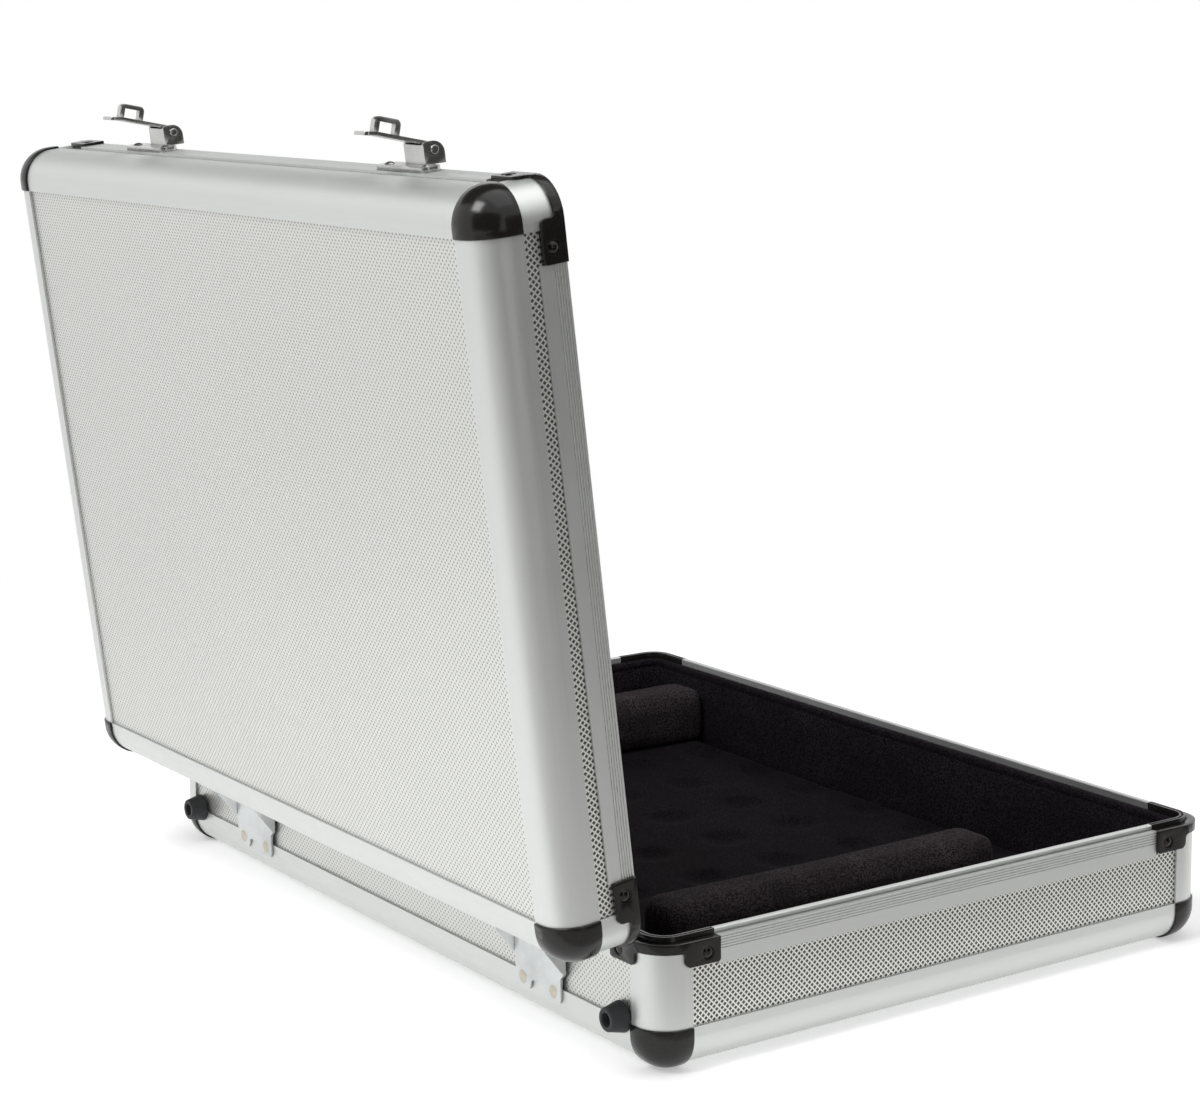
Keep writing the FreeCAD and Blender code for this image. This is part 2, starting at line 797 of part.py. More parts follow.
def foot():
    """A tapered rubber foot with a rounded tip, drawn from z=0 up."""
    edge = foot_edge_round
    centre = (foot_tip_radius - edge, foot_reach - edge)
    face = outline(
        [
            (foot_screw_shank_radius + hole_clearance, 0.0), (foot_base_radius, 0.0),
            (foot_tip_radius, centre[1]),
            (arc_through(centre, edge, eighth_turn), (centre[0], foot_reach)),
            (foot_recess_radius, foot_reach), (foot_recess_radius, foot_reach - foot_recess_depth),
            (foot_screw_shank_radius + hole_clearance, foot_reach - foot_recess_depth),
        ],
        lambda r, z: V(r, 0, z),
    )
    return face.revolve(ORIGIN, Z_AXIS, full_turn)


def foot_screw():
    """The screw in the foot's recess."""
    seat = foot_reach - foot_recess_depth
    screw = rivet(foot_screw_head_radius, foot_screw_head_height, foot_screw_shank_radius,
                  seat + stack)
    return moved(screw, 0, 0, seat)


def latch_bracket(x):
    """Plate, web and two rounded cheeks of a latch on the lid's front wall."""
    thick = latch_plate_thickness
    end = latch_plate_start + latch_plate_depth
    plate = box((-latch_plate_half, -thick, latch_plate_start), (latch_plate_half, 0, end))
    nose = latch_plate_depth / 2 - metal_thickness
    plate = plate.makeFillet(nose, [
        e for e in plate.Edges if e.BoundBox.YLength > thick / 2 and e.BoundBox.XLength < overrun
        and e.BoundBox.ZLength < overrun
    ])
    height = cheek_height
    centre = (height - cheek_round, cheek_start + cheek_round)
    small = cheek_thickness
    corner = (height - small, cheek_end - small)
    cheek = outline(
        [
            (cheek_base, cheek_start), (centre[0], cheek_start),
            (arc_through(centre, cheek_round, -eighth_turn), (height, centre[1])),
            (height, corner[1]), (arc_through(corner, small, eighth_turn), (corner[0], cheek_end)),
            (cheek_base, cheek_end),
        ],
        lambda h, v: V(cheek_half - cheek_thickness, -h, v),
    ).extrude(V(cheek_thickness, 0, 0))
    slope = math.tan(math.radians(latch_open_slope))
    slant = math.cos(math.radians(latch_open_slope))
    web_top = latch_pin_height + (cheek_end - web_thickness - latch_pin_place) * slope
    web_top += lever_back / slant - web_gap
    web = box((-cheek_half, -web_top, cheek_end - web_thickness), (cheek_half, 0, cheek_end))
    bracket = plate.fuse(cheek).fuse(cheek.mirror(ORIGIN, X_AXIS)).fuse(web)
    bracket = bracket.cut(rod(latch_pin_radius + running_fit,
                              (-cheek_half - overrun, -latch_pin_height, latch_pin_place),
                              (cheek_half + overrun, -latch_pin_height, latch_pin_place)))
    middle = latch_plate_start + latch_plate_depth / 2
    for sign in (-1, 1):
        bracket = bracket.cut(rod(rivet_shank_radius + hole_clearance,
                                  (sign * latch_screw_half_pitch, -thick - overrun, middle),
                                  (sign * latch_screw_half_pitch, overrun, middle)))
    return moved(bracket.removeSplitter(), x, -half_depth, lid_floor)


def hasp_lever():
    """The lever, drawn shut: hanging down from its pin with the staple on its inner side."""
    inner = knuckle_radius
    straight = lever_length - lever_tip_length
    bend = math.radians(lever_tip_bend)
    tip = lever_tip_length
    side = outline(
        [
            (lever_back, 0.0), (inner, 0.0), (inner, -straight),
            (inner - tip * math.sin(bend), -straight - tip * math.cos(bend)),
            (lever_back - tip * math.sin(bend), -straight - tip * math.cos(bend)),
            (lever_back, -straight),
        ],
        lambda a, z: V(-lever_half, a, z),
    ).extrude(V(2 * lever_half, 0, 0))
    rounding = outline(
        [
            (-lever_half, overrun), (-lever_half, lever_round - lever_length),
            (arc_through((lever_round - lever_half, lever_round - lever_length), lever_round,
                         half_turn + eighth_turn),
             (lever_round - lever_half, -lever_length)),
            (lever_half - lever_round, -lever_length),
            (arc_through((lever_half - lever_round, lever_round - lever_length), lever_round, -eighth_turn),
             (lever_half, lever_round - lever_length)),
            (lever_half, overrun),
        ],
        lambda a, z: V(a, -tip - inner, z),
    ).extrude(V(0, 2 * (tip + inner), 0))
    plate = side.common(rounding)
    knuckle_half = cheek_half - cheek_thickness - lever_play
    knuckle = rod(knuckle_radius, (-knuckle_half, 0, 0), (knuckle_half, 0, 0))
    top, low = -staple_start, -staple_start - staple_length
    rise = inner + staple_height
    centre_low = (rise - staple_round, low + staple_round)
    centre_top = (rise - staple_round, top - staple_round)
    loop = outline(
        [
            (lever_back, low), (centre_low[0], low),
            (arc_through(centre_low, staple_round, -eighth_turn), (rise, centre_low[1])),
            (rise, centre_top[1]),
            (arc_through(centre_top, staple_round, eighth_turn), (centre_top[0], top)), (lever_back, top),
        ],
        lambda a, z: V(-staple_band / 2, a, z),
    ).extrude(V(staple_band, 0, 0))
    window = box((-staple_band, inner, low + staple_leg),
                 (staple_band, rise - staple_bar, top - staple_leg))
    lever = plate.fuse(knuckle).fuse(loop).cut(window)
    return lever.cut(rod(latch_pin_radius + running_fit,
                         (-cheek_half, 0, 0), (cheek_half, 0, 0))).removeSplitter()


def placed_lever(x):
    """A lever turned open against its bracket's web."""
    opened = turned(hasp_lever(), latch_open_slope - half_turn, ORIGIN, X_AXIS)
    return moved(opened, x, -half_depth - latch_pin_height, lid_floor + latch_pin_place)


def lock_case(x):
    """The lock's housing on the front wall, with the staple's slot and the bolt's channel."""
    case = box((-lock_half, -lock_face, -lock_top - lock_length), (lock_half, metal_thickness, -lock_top))
    corners = [
        e for e in case.Edges if e.BoundBox.YLength > metal_thickness and e.BoundBox.XLength < overrun
        and e.BoundBox.ZLength < overrun
    ]
    case = case.makeFillet(lock_round, corners)
    slot = box(
        (-slot_half, -lock_face - overrun, -staple_bottom_drop - slot_clearance),
        (slot_half, metal_thickness + overrun, slot_clearance - staple_top_drop))
    half = bolt_width / 2 + bolt_play
    channel_cut = box(
        (-lock_half + lock_end_wall, -bolt_top - bolt_play, -bolt_middle_drop - half),
        (bolt_rest + bolt_play + lock_end_wall, bolt_play - bolt_floor, -bolt_middle_drop + half))
    stem = box(
        (-button_centre - button_stem_half - bolt_travel - bolt_play, -lock_face - overrun,
         -bolt_middle_drop - button_stem_half - bolt_play),
        (-button_centre + button_stem_half + bolt_play, -bolt_top,
         -bolt_middle_drop + button_stem_half + bolt_play))
    case = case.cut(slot).cut(channel_cut).cut(stem)
    for sign in (-1, 1):
        for drop in (lock_top + lock_round, lock_top + lock_length - lock_round):
            case = case.cut(rod(rivet_shank_radius + hole_clearance,
                                (sign * lock_rivet_half_pitch, -lock_face - overrun, -drop),
                                (sign * lock_rivet_half_pitch, metal_thickness + overrun, -drop)))
    return moved(case, x, -half_depth, parting)


def lock_slide(x):
    """The spring bolt with its stem and thumb button."""
    half = bolt_width / 2
    bolt = box((-bolt_back, -bolt_top, -bolt_middle_drop - half),
               (bolt_rest, -bolt_floor, -bolt_middle_drop + half))
    stem = box(
        (-button_centre - button_stem_half, -lock_face - button_height / 2,
         -bolt_middle_drop - button_stem_half),
        (-button_centre + button_stem_half, -bolt_top, -bolt_middle_drop + button_stem_half))
    low = (-button_centre - button_half, -lock_face - bolt_play - button_height,
           -bolt_middle_drop - button_length / 2)
    high = (-button_centre + button_half, -lock_face - bolt_play,
            -bolt_middle_drop + button_length / 2)
    button = box(low, high)
    button = button.makeFillet(button_round, button.Edges)
    slide = bolt.fuse(stem).fuse(button).removeSplitter()
    return moved(slide, x, -half_depth, parting)


def lock_spring(x):
    """The bolt's return spring, kept as a plain sleeve because it is shut inside the case."""
    middle = -(bolt_floor + bolt_thickness / 2)
    start = (-lock_half + lock_end_wall + bolt_play, middle, -bolt_middle_drop)
    end = (-bolt_back - bolt_play, middle, -bolt_middle_drop)
    sleeve = rod(lock_spring_radius, start, end)
    bore = rod(lock_spring_radius - lock_spring_wire,
               (start[0] - overrun, start[1], start[2]), (end[0] + overrun, end[1], end[2]))
    return moved(sleeve.cut(bore), x, -half_depth, parting)


def lock_rivets():
    """Four rivets for each lock."""
    one = rivet(rivet_head_radius, rivet_head_height, rivet_shank_radius, lock_face + web_inner)
    placed = []
    for x in (-latch_offset, latch_offset):
        for sign in (-1, 1):
            for drop in (lock_top + lock_round, lock_top + lock_length - lock_round):
                placed.append(facing_front(one, x + sign * lock_rivet_half_pitch,
                                           -half_depth - lock_face, parting - drop))
    return placed


def handle_bracket(x):
    """A small plate with two lugs that carries one end of the handle."""
    back = metal_thickness
    plate = box(
        (-handle_plate_half, back - handle_plate_thickness, -handle_pivot_drop - handle_plate_height / 2),
        (handle_plate_half, back, -handle_pivot_drop + handle_plate_height / 2))
    inner = handle_arm_half + handle_lug_gap
    centre = (handle_pivot_out, -handle_pivot_drop)
    lug = outline(
        [
            (-back + handle_plate_thickness / 2, centre[1] - handle_lug_round),
            (centre[0], centre[1] - handle_lug_round),
            (arc_through(centre, handle_lug_round, 0), (centre[0], centre[1] + handle_lug_round)),
            (-back + handle_plate_thickness / 2, centre[1] + handle_lug_round),
        ],
        lambda h, z: V(inner, -h, z),
    ).extrude(V(handle_lug_thickness, 0, 0))
    bracket = plate.fuse(lug).fuse(lug.mirror(ORIGIN, X_AXIS))
    bracket = bracket.cut(rod(
        handle_pin_radius + running_fit, (-inner - overrun - overrun, -centre[0], centre[1]),
        (inner + overrun + overrun, -centre[0], centre[1])))
    for sign in (-1, 1):
        bracket = bracket.cut(rod(
            rivet_shank_radius + hole_clearance,
            (sign * handle_rivet_half_pitch, back - handle_plate_thickness - overrun, centre[1]),
            (sign * handle_rivet_half_pitch, back + overrun, centre[1])))
    return moved(bracket.removeSplitter(), x, -half_depth, parting)


def handle_rivets():
    """Two rivets for each handle bracket."""
    one = rivet(rivet_head_radius, rivet_head_height, rivet_shank_radius,
                handle_plate_thickness + skin_thickness + board_thickness)
    return [
        facing_front(one, x + sign * handle_rivet_half_pitch,
                     metal_thickness - handle_plate_thickness - half_depth, parting - handle_pivot_drop)
        for x in (-handle_half, handle_half) for sign in (-1, 1)
    ]


def handle_grip():
    """The moulded grip with two arms and an eye at each end, hanging from its pins."""
    out, low = handle_pivot_out, -handle_pivot_drop - handle_drop
    bend = handle_bend_radius
    reach = handle_half + handle_arm_half
    inner = handle_half - handle_arm_half
    grip_top, grip_low = low + handle_grip_height / 2, low - handle_grip_height / 2
    pivot = -handle_pivot_drop
    eye = handle_eye_radius
    centre = (reach - bend, grip_low + bend)
    notch = (inner - bend / 2, grip_top + bend / 2)
    half = [
        (0.0, grip_low), (centre[0], grip_low),
        (arc_through(centre, bend, -eighth_turn), (reach, centre[1])), (reach, pivot + eye),
        (inner, pivot + eye), (inner, notch[1]),
        (arc_through(notch, bend / 2, -eighth_turn), (notch[0], grip_top)), (0.0, grip_top),
    ]
    depth = handle_grip_depth / 2
    face = outline(half, lambda a, z: V(a, depth - out, z))
    right = face.extrude(V(0, -handle_grip_depth, 0))
    body = right.fuse(right.mirror(ORIGIN, X_AXIS))
    section = rounded_wire(handle_grip_depth / 2, handle_grip_height / 2, handle_grip_round, 0)
    grip = Part.Face(section).extrude(V(0, 0, 2 * (reach + overrun)))
    grip = turned(turned(grip, quarter_turn, ORIGIN, Z_AXIS), quarter_turn, ORIGIN, Y_AXIS)
    grip = moved(grip, -reach - overrun, -out, low)
    arm_depth = handle_arm_depth / 2
    arms = None
    for sign in (-1, 1):
        x0, x1 = sorted((sign * (inner - bend / 2), sign * reach))
        arm = box((x0, -out - arm_depth, low), (x1, -out + arm_depth, pivot + eye))
        arm = arm.makeFillet(arm_depth - metal_thickness, [
            e for e in arm.Edges if e.BoundBox.XLength > bend / 2 and e.BoundBox.ZMin > pivot])
        arms = arm if arms is None else arms.fuse(arm)
    body = body.common(grip.fuse(arms))
    body = body.cut(rod(handle_pin_radius + running_fit, (-reach - overrun, -out, pivot),
                        (reach + overrun, -out, pivot)))
    return moved(body.removeSplitter(), 0, -half_depth, parting)


def flipped(shape):
    """A piece of the lid's half turned over onto the base, rim to rim."""
    return moved(turned(shape, half_turn, ORIGIN, X_AXIS), 0, 0, lid_floor + lid_height)


def cut_from(pieces, names, cutters):
    """Cuts the same tools out of several pieces."""
    for name in names:
        pieces[name] = [solid.cut(cutters) for solid in pieces[name]]


def build_base():
    """The lower half with everything fixed to it."""
    pieces = {}
    for name, solids in shell("base", base_height, True).items():
        pieces[name] = [moved(solid, 0, 0, corner_proud) for solid in solids]
    walls = [f"base_wall_{side}" for side, _, _, _ in four_sides()]
    lift = [moved(tool, 0, 0, corner_proud) for tool in tab_holes(base_height)]
    cut_from(pieces, walls, lift)
    rivet_z = corner_proud + hinge_rivet_height
    cut_from(pieces, ["base_wall_rear", "base_edge_rear"], hinge_rivet_holes(rivet_z))
    pieces["hinge_base_leaves"] = [hinge_base_leaf(x) for x in (-hinge_offset, hinge_offset)]
    pin = headed_pin(pin_radius, ear_outer_half, pin_head_radius, pin_head_length)
    pieces["hinge_pins"] = [moved(pin, x, hinge_y, hinge_z) for x in (-hinge_offset, hinge_offset)]
    pieces["base_hinge_rivets"] = hinge_rivets(rivet_z)
    feet, screws, screw_holes = [], [], []
    for x in (foot_offset - half_width, half_width - foot_offset):
        z = corner_proud + foot_height
        feet.append(facing_rear(foot(), x, half_depth, z))
        screws.append(facing_rear(foot_screw(), x, half_depth, z))
        screw_holes.append(rod(foot_screw_shank_radius + hole_clearance,
                               (x, half_depth - stack - overrun, z), (x, half_depth + overrun, z)))
    cut_from(pieces, ["base_wall_rear", "base_edge_rear"], screw_holes)
    pieces["rubber_feet"] = feet
    pieces["foot_screws"] = screws
    pieces.update(build_front_hardware(pieces))
    pieces["egg_crate_pad"] = [egg_crate_pad()]
    pieces["padded_dividers"] = [
        divider(divider_left_x, divider_left_y), divider(divider_right_x, divider_right_y)]
    return pieces


def build_front_hardware(pieces):
    """Locks and handle, with their holes in the front wall."""
    made = {}
    cutters = []
    for x in (-latch_offset, latch_offset):
        cutters.append(box(
            (x - slot_half, -half_depth - overrun, parting - staple_bottom_drop - pocket_clearance),
            (x + slot_half, stack + overrun - half_depth, parting - staple_top_drop + pocket_clearance)))
    for x in (-latch_offset, latch_offset):
        for sign in (-1, 1):
            for drop in (lock_top + lock_round, lock_top + lock_length - lock_round):
                place = x + sign * lock_rivet_half_pitch
                cutters.append(rod(rivet_shank_radius + hole_clearance,
                                   (place, -half_depth, parting - drop),
                                   (place, stack + overrun - half_depth, parting - drop)))
    for x in (-handle_half, handle_half):
        for sign in (-1, 1):
            place = x + sign * handle_rivet_half_pitch
            cutters.append(rod(rivet_shank_radius + hole_clearance,
                               (place, -half_depth, parting - handle_pivot_drop),
                               (place, stack + overrun - half_depth, parting - handle_pivot_drop)))
    cut_from(pieces, ["base_wall_front"], cutters)
    names = {"left": -latch_offset, "right": latch_offset}
    for side, x in names.items():
        made[f"lock_case_{side}"] = [lock_case(x)]
        made[f"lock_slide_{side}"] = [lock_slide(x)]
        made[f"lock_spring_{side}"] = [lock_spring(x)]
    made["front_rivets"] = lock_rivets() + handle_rivets()
    made["handle_brackets"] = [handle_bracket(x) for x in (-handle_half, handle_half)]
    lug_end = handle_arm_half + handle_lug_gap + handle_lug_thickness
    pin = headed_pin(handle_pin_radius, lug_end, handle_pin_radius + metal_thickness, metal_thickness)
    made["handle_pins"] = [
        moved(pin, x, -half_depth - handle_pivot_out, parting - handle_pivot_drop)
        for x in (-handle_half, handle_half)]
    made["handle_grip"] = [handle_grip()]
    return made


def build_lid():
    """The upper half with everything fixed to it, drawn shut."""
    renamed = {"front": "rear", "rear": "front", "left": "left", "right": "right"}
    pieces = {}
    for name, solids in shell("lid", lid_height, False).items():
        parts = name.rsplit("_", 1)
        if parts[1] in renamed:
            name = f"{parts[0]}_{renamed[parts[1]]}"
        pieces[name] = [flipped(solid) for solid in solids]
    walls = [f"lid_wall_{side}" for side, _, _, _ in four_sides()]
    cut_from(pieces, walls, [flipped(tool) for tool in tab_holes(lid_height)])
    rivet_z = lid_floor + lid_height - hinge_rivet_height
    cut_from(pieces, ["lid_wall_rear", "lid_edge_rear"], hinge_rivet_holes(rivet_z))
    pieces["lid_face_pad"] = [flipped(lid_pad())]
    pieces["hinge_lid_leaves"] = [hinge_lid_leaf(x) for x in (-hinge_offset, hinge_offset)]
    pieces["lid_hinge_rivets"] = hinge_rivets(rivet_z)
    pieces["latch_brackets"] = [latch_bracket(x) for x in (-latch_offset, latch_offset)]
    pin = headed_pin(latch_pin_radius, cheek_half, latch_pin_radius + metal_thickness / 2,
                     metal_thickness / 2)
    pieces["latch_pins"] = [
        moved(pin, x, -half_depth - latch_pin_height, lid_floor + latch_pin_place)
        for x in (-latch_offset, latch_offset)]
    screw = rivet(rivet_head_radius, rivet_head_height, rivet_shank_radius,
                  latch_plate_thickness + stack)
    middle = lid_floor + latch_plate_start + latch_plate_depth / 2
    screws, holes = [], []
    for x in (-latch_offset, latch_offset):
        for sign in (-1, 1):
            place = x + sign * latch_screw_half_pitch
            screws.append(facing_front(screw, place, -half_depth - latch_plate_thickness, middle))
            holes.append(rod(rivet_shank_radius + hole_clearance,
                             (place, -half_depth - overrun, middle),
                             (place, stack + overrun - half_depth, middle)))
    pieces["latch_screws"] = screws
    cut_from(pieces, ["lid_rim_long", "lid_wall_front"], holes)
    for side, x in {"left": -latch_offset, "right": latch_offset}.items():
        pieces[f"hasp_lever_{side}"] = [placed_lever(x)]
    return pieces


def export(pieces, turn):
    """Writes one file per node, with the lid's pieces turned open."""
    for name, solids in sorted(pieces.items()):
        placed = [turned(s, turn, V(0, hinge_y, hinge_z), X_AXIS) for s in solids]
        shape = placed[0] if len(placed) == 1 else Part.makeCompound(placed)
        shape.exportStep(os.path.join("parts", f"{name}.step"))
        sizes = shape.BoundBox
        print(f"{name:24s} solids {len(shape.Solids):3d} volume {shape.Volume:12.1f} valid {shape.isValid()}"
              f" z {sizes.ZMin:7.1f} {sizes.ZMax:7.1f}")


os.makedirs("parts", exist_ok=True)
export(build_base(), 0)
export(build_lid(), -open_angle)
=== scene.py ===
import json
import logging
import math
from dataclasses import dataclass, field
from enum import Enum
from typing import Callable, Iterable, Optional, Sequence, Union

import bmesh
import bpy
from mathutils import Matrix, Vector

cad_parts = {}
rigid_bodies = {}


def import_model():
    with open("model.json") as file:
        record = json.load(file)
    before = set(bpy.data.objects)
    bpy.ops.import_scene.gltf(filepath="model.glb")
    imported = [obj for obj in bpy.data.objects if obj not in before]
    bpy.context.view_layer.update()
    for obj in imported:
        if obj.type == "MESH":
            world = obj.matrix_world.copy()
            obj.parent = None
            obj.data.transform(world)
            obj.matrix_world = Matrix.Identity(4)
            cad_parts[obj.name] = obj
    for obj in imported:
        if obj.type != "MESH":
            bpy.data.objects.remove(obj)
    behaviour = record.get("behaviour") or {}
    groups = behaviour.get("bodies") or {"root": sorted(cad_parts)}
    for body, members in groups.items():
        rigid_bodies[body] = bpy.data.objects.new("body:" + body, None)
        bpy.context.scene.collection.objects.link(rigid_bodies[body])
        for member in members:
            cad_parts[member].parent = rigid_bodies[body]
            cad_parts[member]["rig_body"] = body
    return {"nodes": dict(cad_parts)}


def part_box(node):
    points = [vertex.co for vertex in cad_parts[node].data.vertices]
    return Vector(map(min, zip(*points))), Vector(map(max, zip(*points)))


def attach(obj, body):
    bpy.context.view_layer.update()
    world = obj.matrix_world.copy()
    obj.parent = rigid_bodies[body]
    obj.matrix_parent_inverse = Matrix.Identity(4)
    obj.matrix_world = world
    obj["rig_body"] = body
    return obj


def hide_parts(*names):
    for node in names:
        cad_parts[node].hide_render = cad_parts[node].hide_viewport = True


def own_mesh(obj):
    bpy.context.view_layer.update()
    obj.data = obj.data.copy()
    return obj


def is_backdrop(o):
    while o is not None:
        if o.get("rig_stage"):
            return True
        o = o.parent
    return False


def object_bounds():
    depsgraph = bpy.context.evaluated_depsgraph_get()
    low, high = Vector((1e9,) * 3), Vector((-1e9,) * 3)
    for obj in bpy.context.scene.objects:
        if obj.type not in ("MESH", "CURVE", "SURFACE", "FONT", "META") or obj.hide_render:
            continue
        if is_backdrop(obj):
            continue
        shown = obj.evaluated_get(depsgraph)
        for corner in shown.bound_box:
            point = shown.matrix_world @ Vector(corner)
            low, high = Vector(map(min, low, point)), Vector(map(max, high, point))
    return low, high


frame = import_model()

# Looks for an open aluminium-framed laptop case. Sizes are in metres, in the frame of the solids:
# X runs along the hinges, -Y is the latch side and Z is up. Colours are linear.

MM = 0.001
OPEN_TURN = math.radians(96.3)
HINGE_Y = 152.7 * MM
HINGE_Z = 52.45 * MM
SAME_POINT = 0.01 * MM

Colour = tuple[float, float, float]
Point = tuple[float, float, float]
Socket = bpy.types.NodeSocket
Sockets = bpy.types.bpy_prop_collection
Value = Union[Socket, float, Sequence[float]]

WHITE: Colour = (1.0, 1.0, 1.0)
DUST: Colour = (0.16, 0.16, 0.16)
LINT: Colour = (0.16, 0.17, 0.19)
RUBBED_MOULDING: Colour = (0.08, 0.078, 0.075)
RUBBED_RUBBER: Colour = (0.10, 0.10, 0.105)

report = logging.getLogger("case")


class Half(Enum):
    """Which half of the case a piece belongs to; the lid's finishes are turned with the lid."""

    BASE = 0.0
    LID = OPEN_TURN


class Run(Enum):
    """The way an extrusion was drawn, shut; the numbers squeeze its noise across that way."""

    ACROSS = (1.0, 60.0, 60.0)
    DEEP = (60.0, 1.0, 60.0)
    UPRIGHT = (60.0, 60.0, 1.0)


class Plane(Enum):
    """The two directions that a flat panel spans, in the frame of its own half when shut."""

    FLAT = ("X", "Y")
    FRONTAL = ("X", "Z")
    SIDEWAYS = ("Y", "Z")


def toned(colour: Sequence[float], factor: float, lift: float = 0.0) -> Colour:
    """Makes a colour darker or lighter, with no channel over 1.

    Args:
        colour: The colour.
        factor: What each channel is multiplied by.
        lift: What is added to each channel.

    Returns:
        The new colour.
    """
    return tuple(min(1.0, channel * factor + lift) for channel in colour)


@dataclass
class Sheet:
    """A node tree that is being filled.

    Attributes:
        tree: The node tree of a material, of the world or of a group.
    """

    tree: bpy.types.NodeTree

    def add(self, kind: str, **settings: object) -> bpy.types.Node:
        """Adds a node.

        Args:
            kind: The node's type without its common beginning.
            settings: Properties to set on it.

        Returns:
            The new node.
        """
        node = self.tree.nodes.new("ShaderNode" + kind)
        for name, value in settings.items():
            setattr(node, name, value)
        return node

    def feed(self, target: Socket, value: Value) -> None:
        """Joins a socket to an input, or sets a plain value on it.

        Args:
            target: The input.
            value: The socket or the plain value.
        """
        if isinstance(value, Socket):
            self.tree.links.new(value, target)
        else:
            target.default_value = value

    def calc(self, operation: str, first: Value, second: Value = 0.0,
             clamp: bool = False) -> Socket:
        """One step of arithmetic.

        Args:
            operation: The name of the step, such as MINIMUM.
            first: A socket or number.
            second: A socket or number.
            clamp: Whether the result stays from 0 to 1.

        Returns:
            The socket with the result.
        """
        node = self.add("Math", operation=operation, use_clamp=clamp)
        self.feed(node.inputs[0], first)
        self.feed(node.inputs[1], second)
        return node.outputs[0]

    def times(self, first: Value, second: Value) -> Socket:
        """One value times another."""
        return self.calc("MULTIPLY", first, second)

    def weighed(self, *parts: tuple[Value, float]) -> Socket:
        """Adds up values, each times its own weight.

        Args:
            parts: Each value with its weight.

        Returns:
            The socket with the sum.
        """
        total, *others = [self.times(value, weight) for value, weight in parts]
        for other in others:
            total = self.calc("ADD", total, other)
        return total

    def between(self, value: Value, low: float, high: float,
                start: float = 0.0, end: float = 1.0) -> Socket:
        """Brings a value smoothly from one range to another.

        Args:
            value: The socket or number.
            low: Where the old range begins.
            high: Where the old range ends.
            start: Where the new range begins.
            end: Where the new range ends.

        Returns:
            The socket with the result.
        """
        node = self.add("MapRange", interpolation_type="SMOOTHSTEP")
        limits = {"From Min": low, "From Max": high, "To Min": start, "To Max": end}
        for name, number in limits.items():
            node.inputs[name].default_value = number
        self.feed(node.inputs["Value"], value)
        return node.outputs["Result"]

    def blend(self, share: Value, first: Value, second: Value) -> Socket:
        """Mixes two colours.

        Args:
            share: How much of the second colour there is.
            first: A colour socket or a colour.
            second: A colour socket or a colour.

        Returns:
            The mixed colour.
        """
        node = self.add("Mix", data_type="RGBA")
        factor, *ends = [socket for socket in node.inputs if socket.enabled]
        self.feed(factor, share)
        for end, colour in zip(ends, (first, second)):
            self.feed(end, colour if isinstance(colour, Socket) else (*colour, 1.0))
        return next(socket for socket in node.outputs if socket.enabled)

    def noise(self, vector: Value, scale: float, detail: float = 2.0,
              roughness: float = 0.5) -> Socket:
        """Soft noise from 0 to 1.

        Args:
            vector: The coordinates.
            scale: Waves per metre.
            detail: How many finer layers are laid over it.
            roughness: How strong the finer layers are.

        Returns:
            The socket with the noise.
        """
        node = self.add("TexNoise")
        self.feed(node.inputs["Vector"], vector)
        node.inputs["Scale"].default_value = scale
        node.inputs["Detail"].default_value = detail
        node.inputs["Roughness"].default_value = roughness
        return node.outputs["Fac"]

    def mapped(self, vector: Value, **settings: Sequence[float]) -> Socket:
        """Moves, turns or stretches coordinates.

        Args:
            vector: The coordinates.
            settings: Location, Rotation or Scale, with its three numbers.

        Returns:
            The socket with the new coordinates.
        """
        node = self.add("Mapping")
        self.feed(node.inputs["Vector"], vector)
        for name, numbers in settings.items():
            node.inputs[name].default_value = numbers
        return node.outputs["Vector"]

    def place(self, half: Half) -> Socket:
        """Object coordinates, turned so that the lid reads as if it were shut.

        Args:
            half: The half of the case that they are on.

        Returns:
            The socket with the coordinates.
        """
        source = self.add("TexCoord").outputs["Object"]
        if half is Half.BASE:
            return source
        return self.mapped(source, Rotation=(half.value, 0.0, 0.0))

    def seen(self) -> Socket:
        """Tells the camera's, reflected and transmitted rays from all others.

        Returns:
            The socket that is 1 on those rays and 0 on others.
        """
        path = self.add("LightPath").outputs
        direct = self.calc("ADD", path["Is Camera Ray"], path["Is Glossy Ray"])
        return self.calc("ADD", direct, path["Is Transmission Ray"], clamp=True)


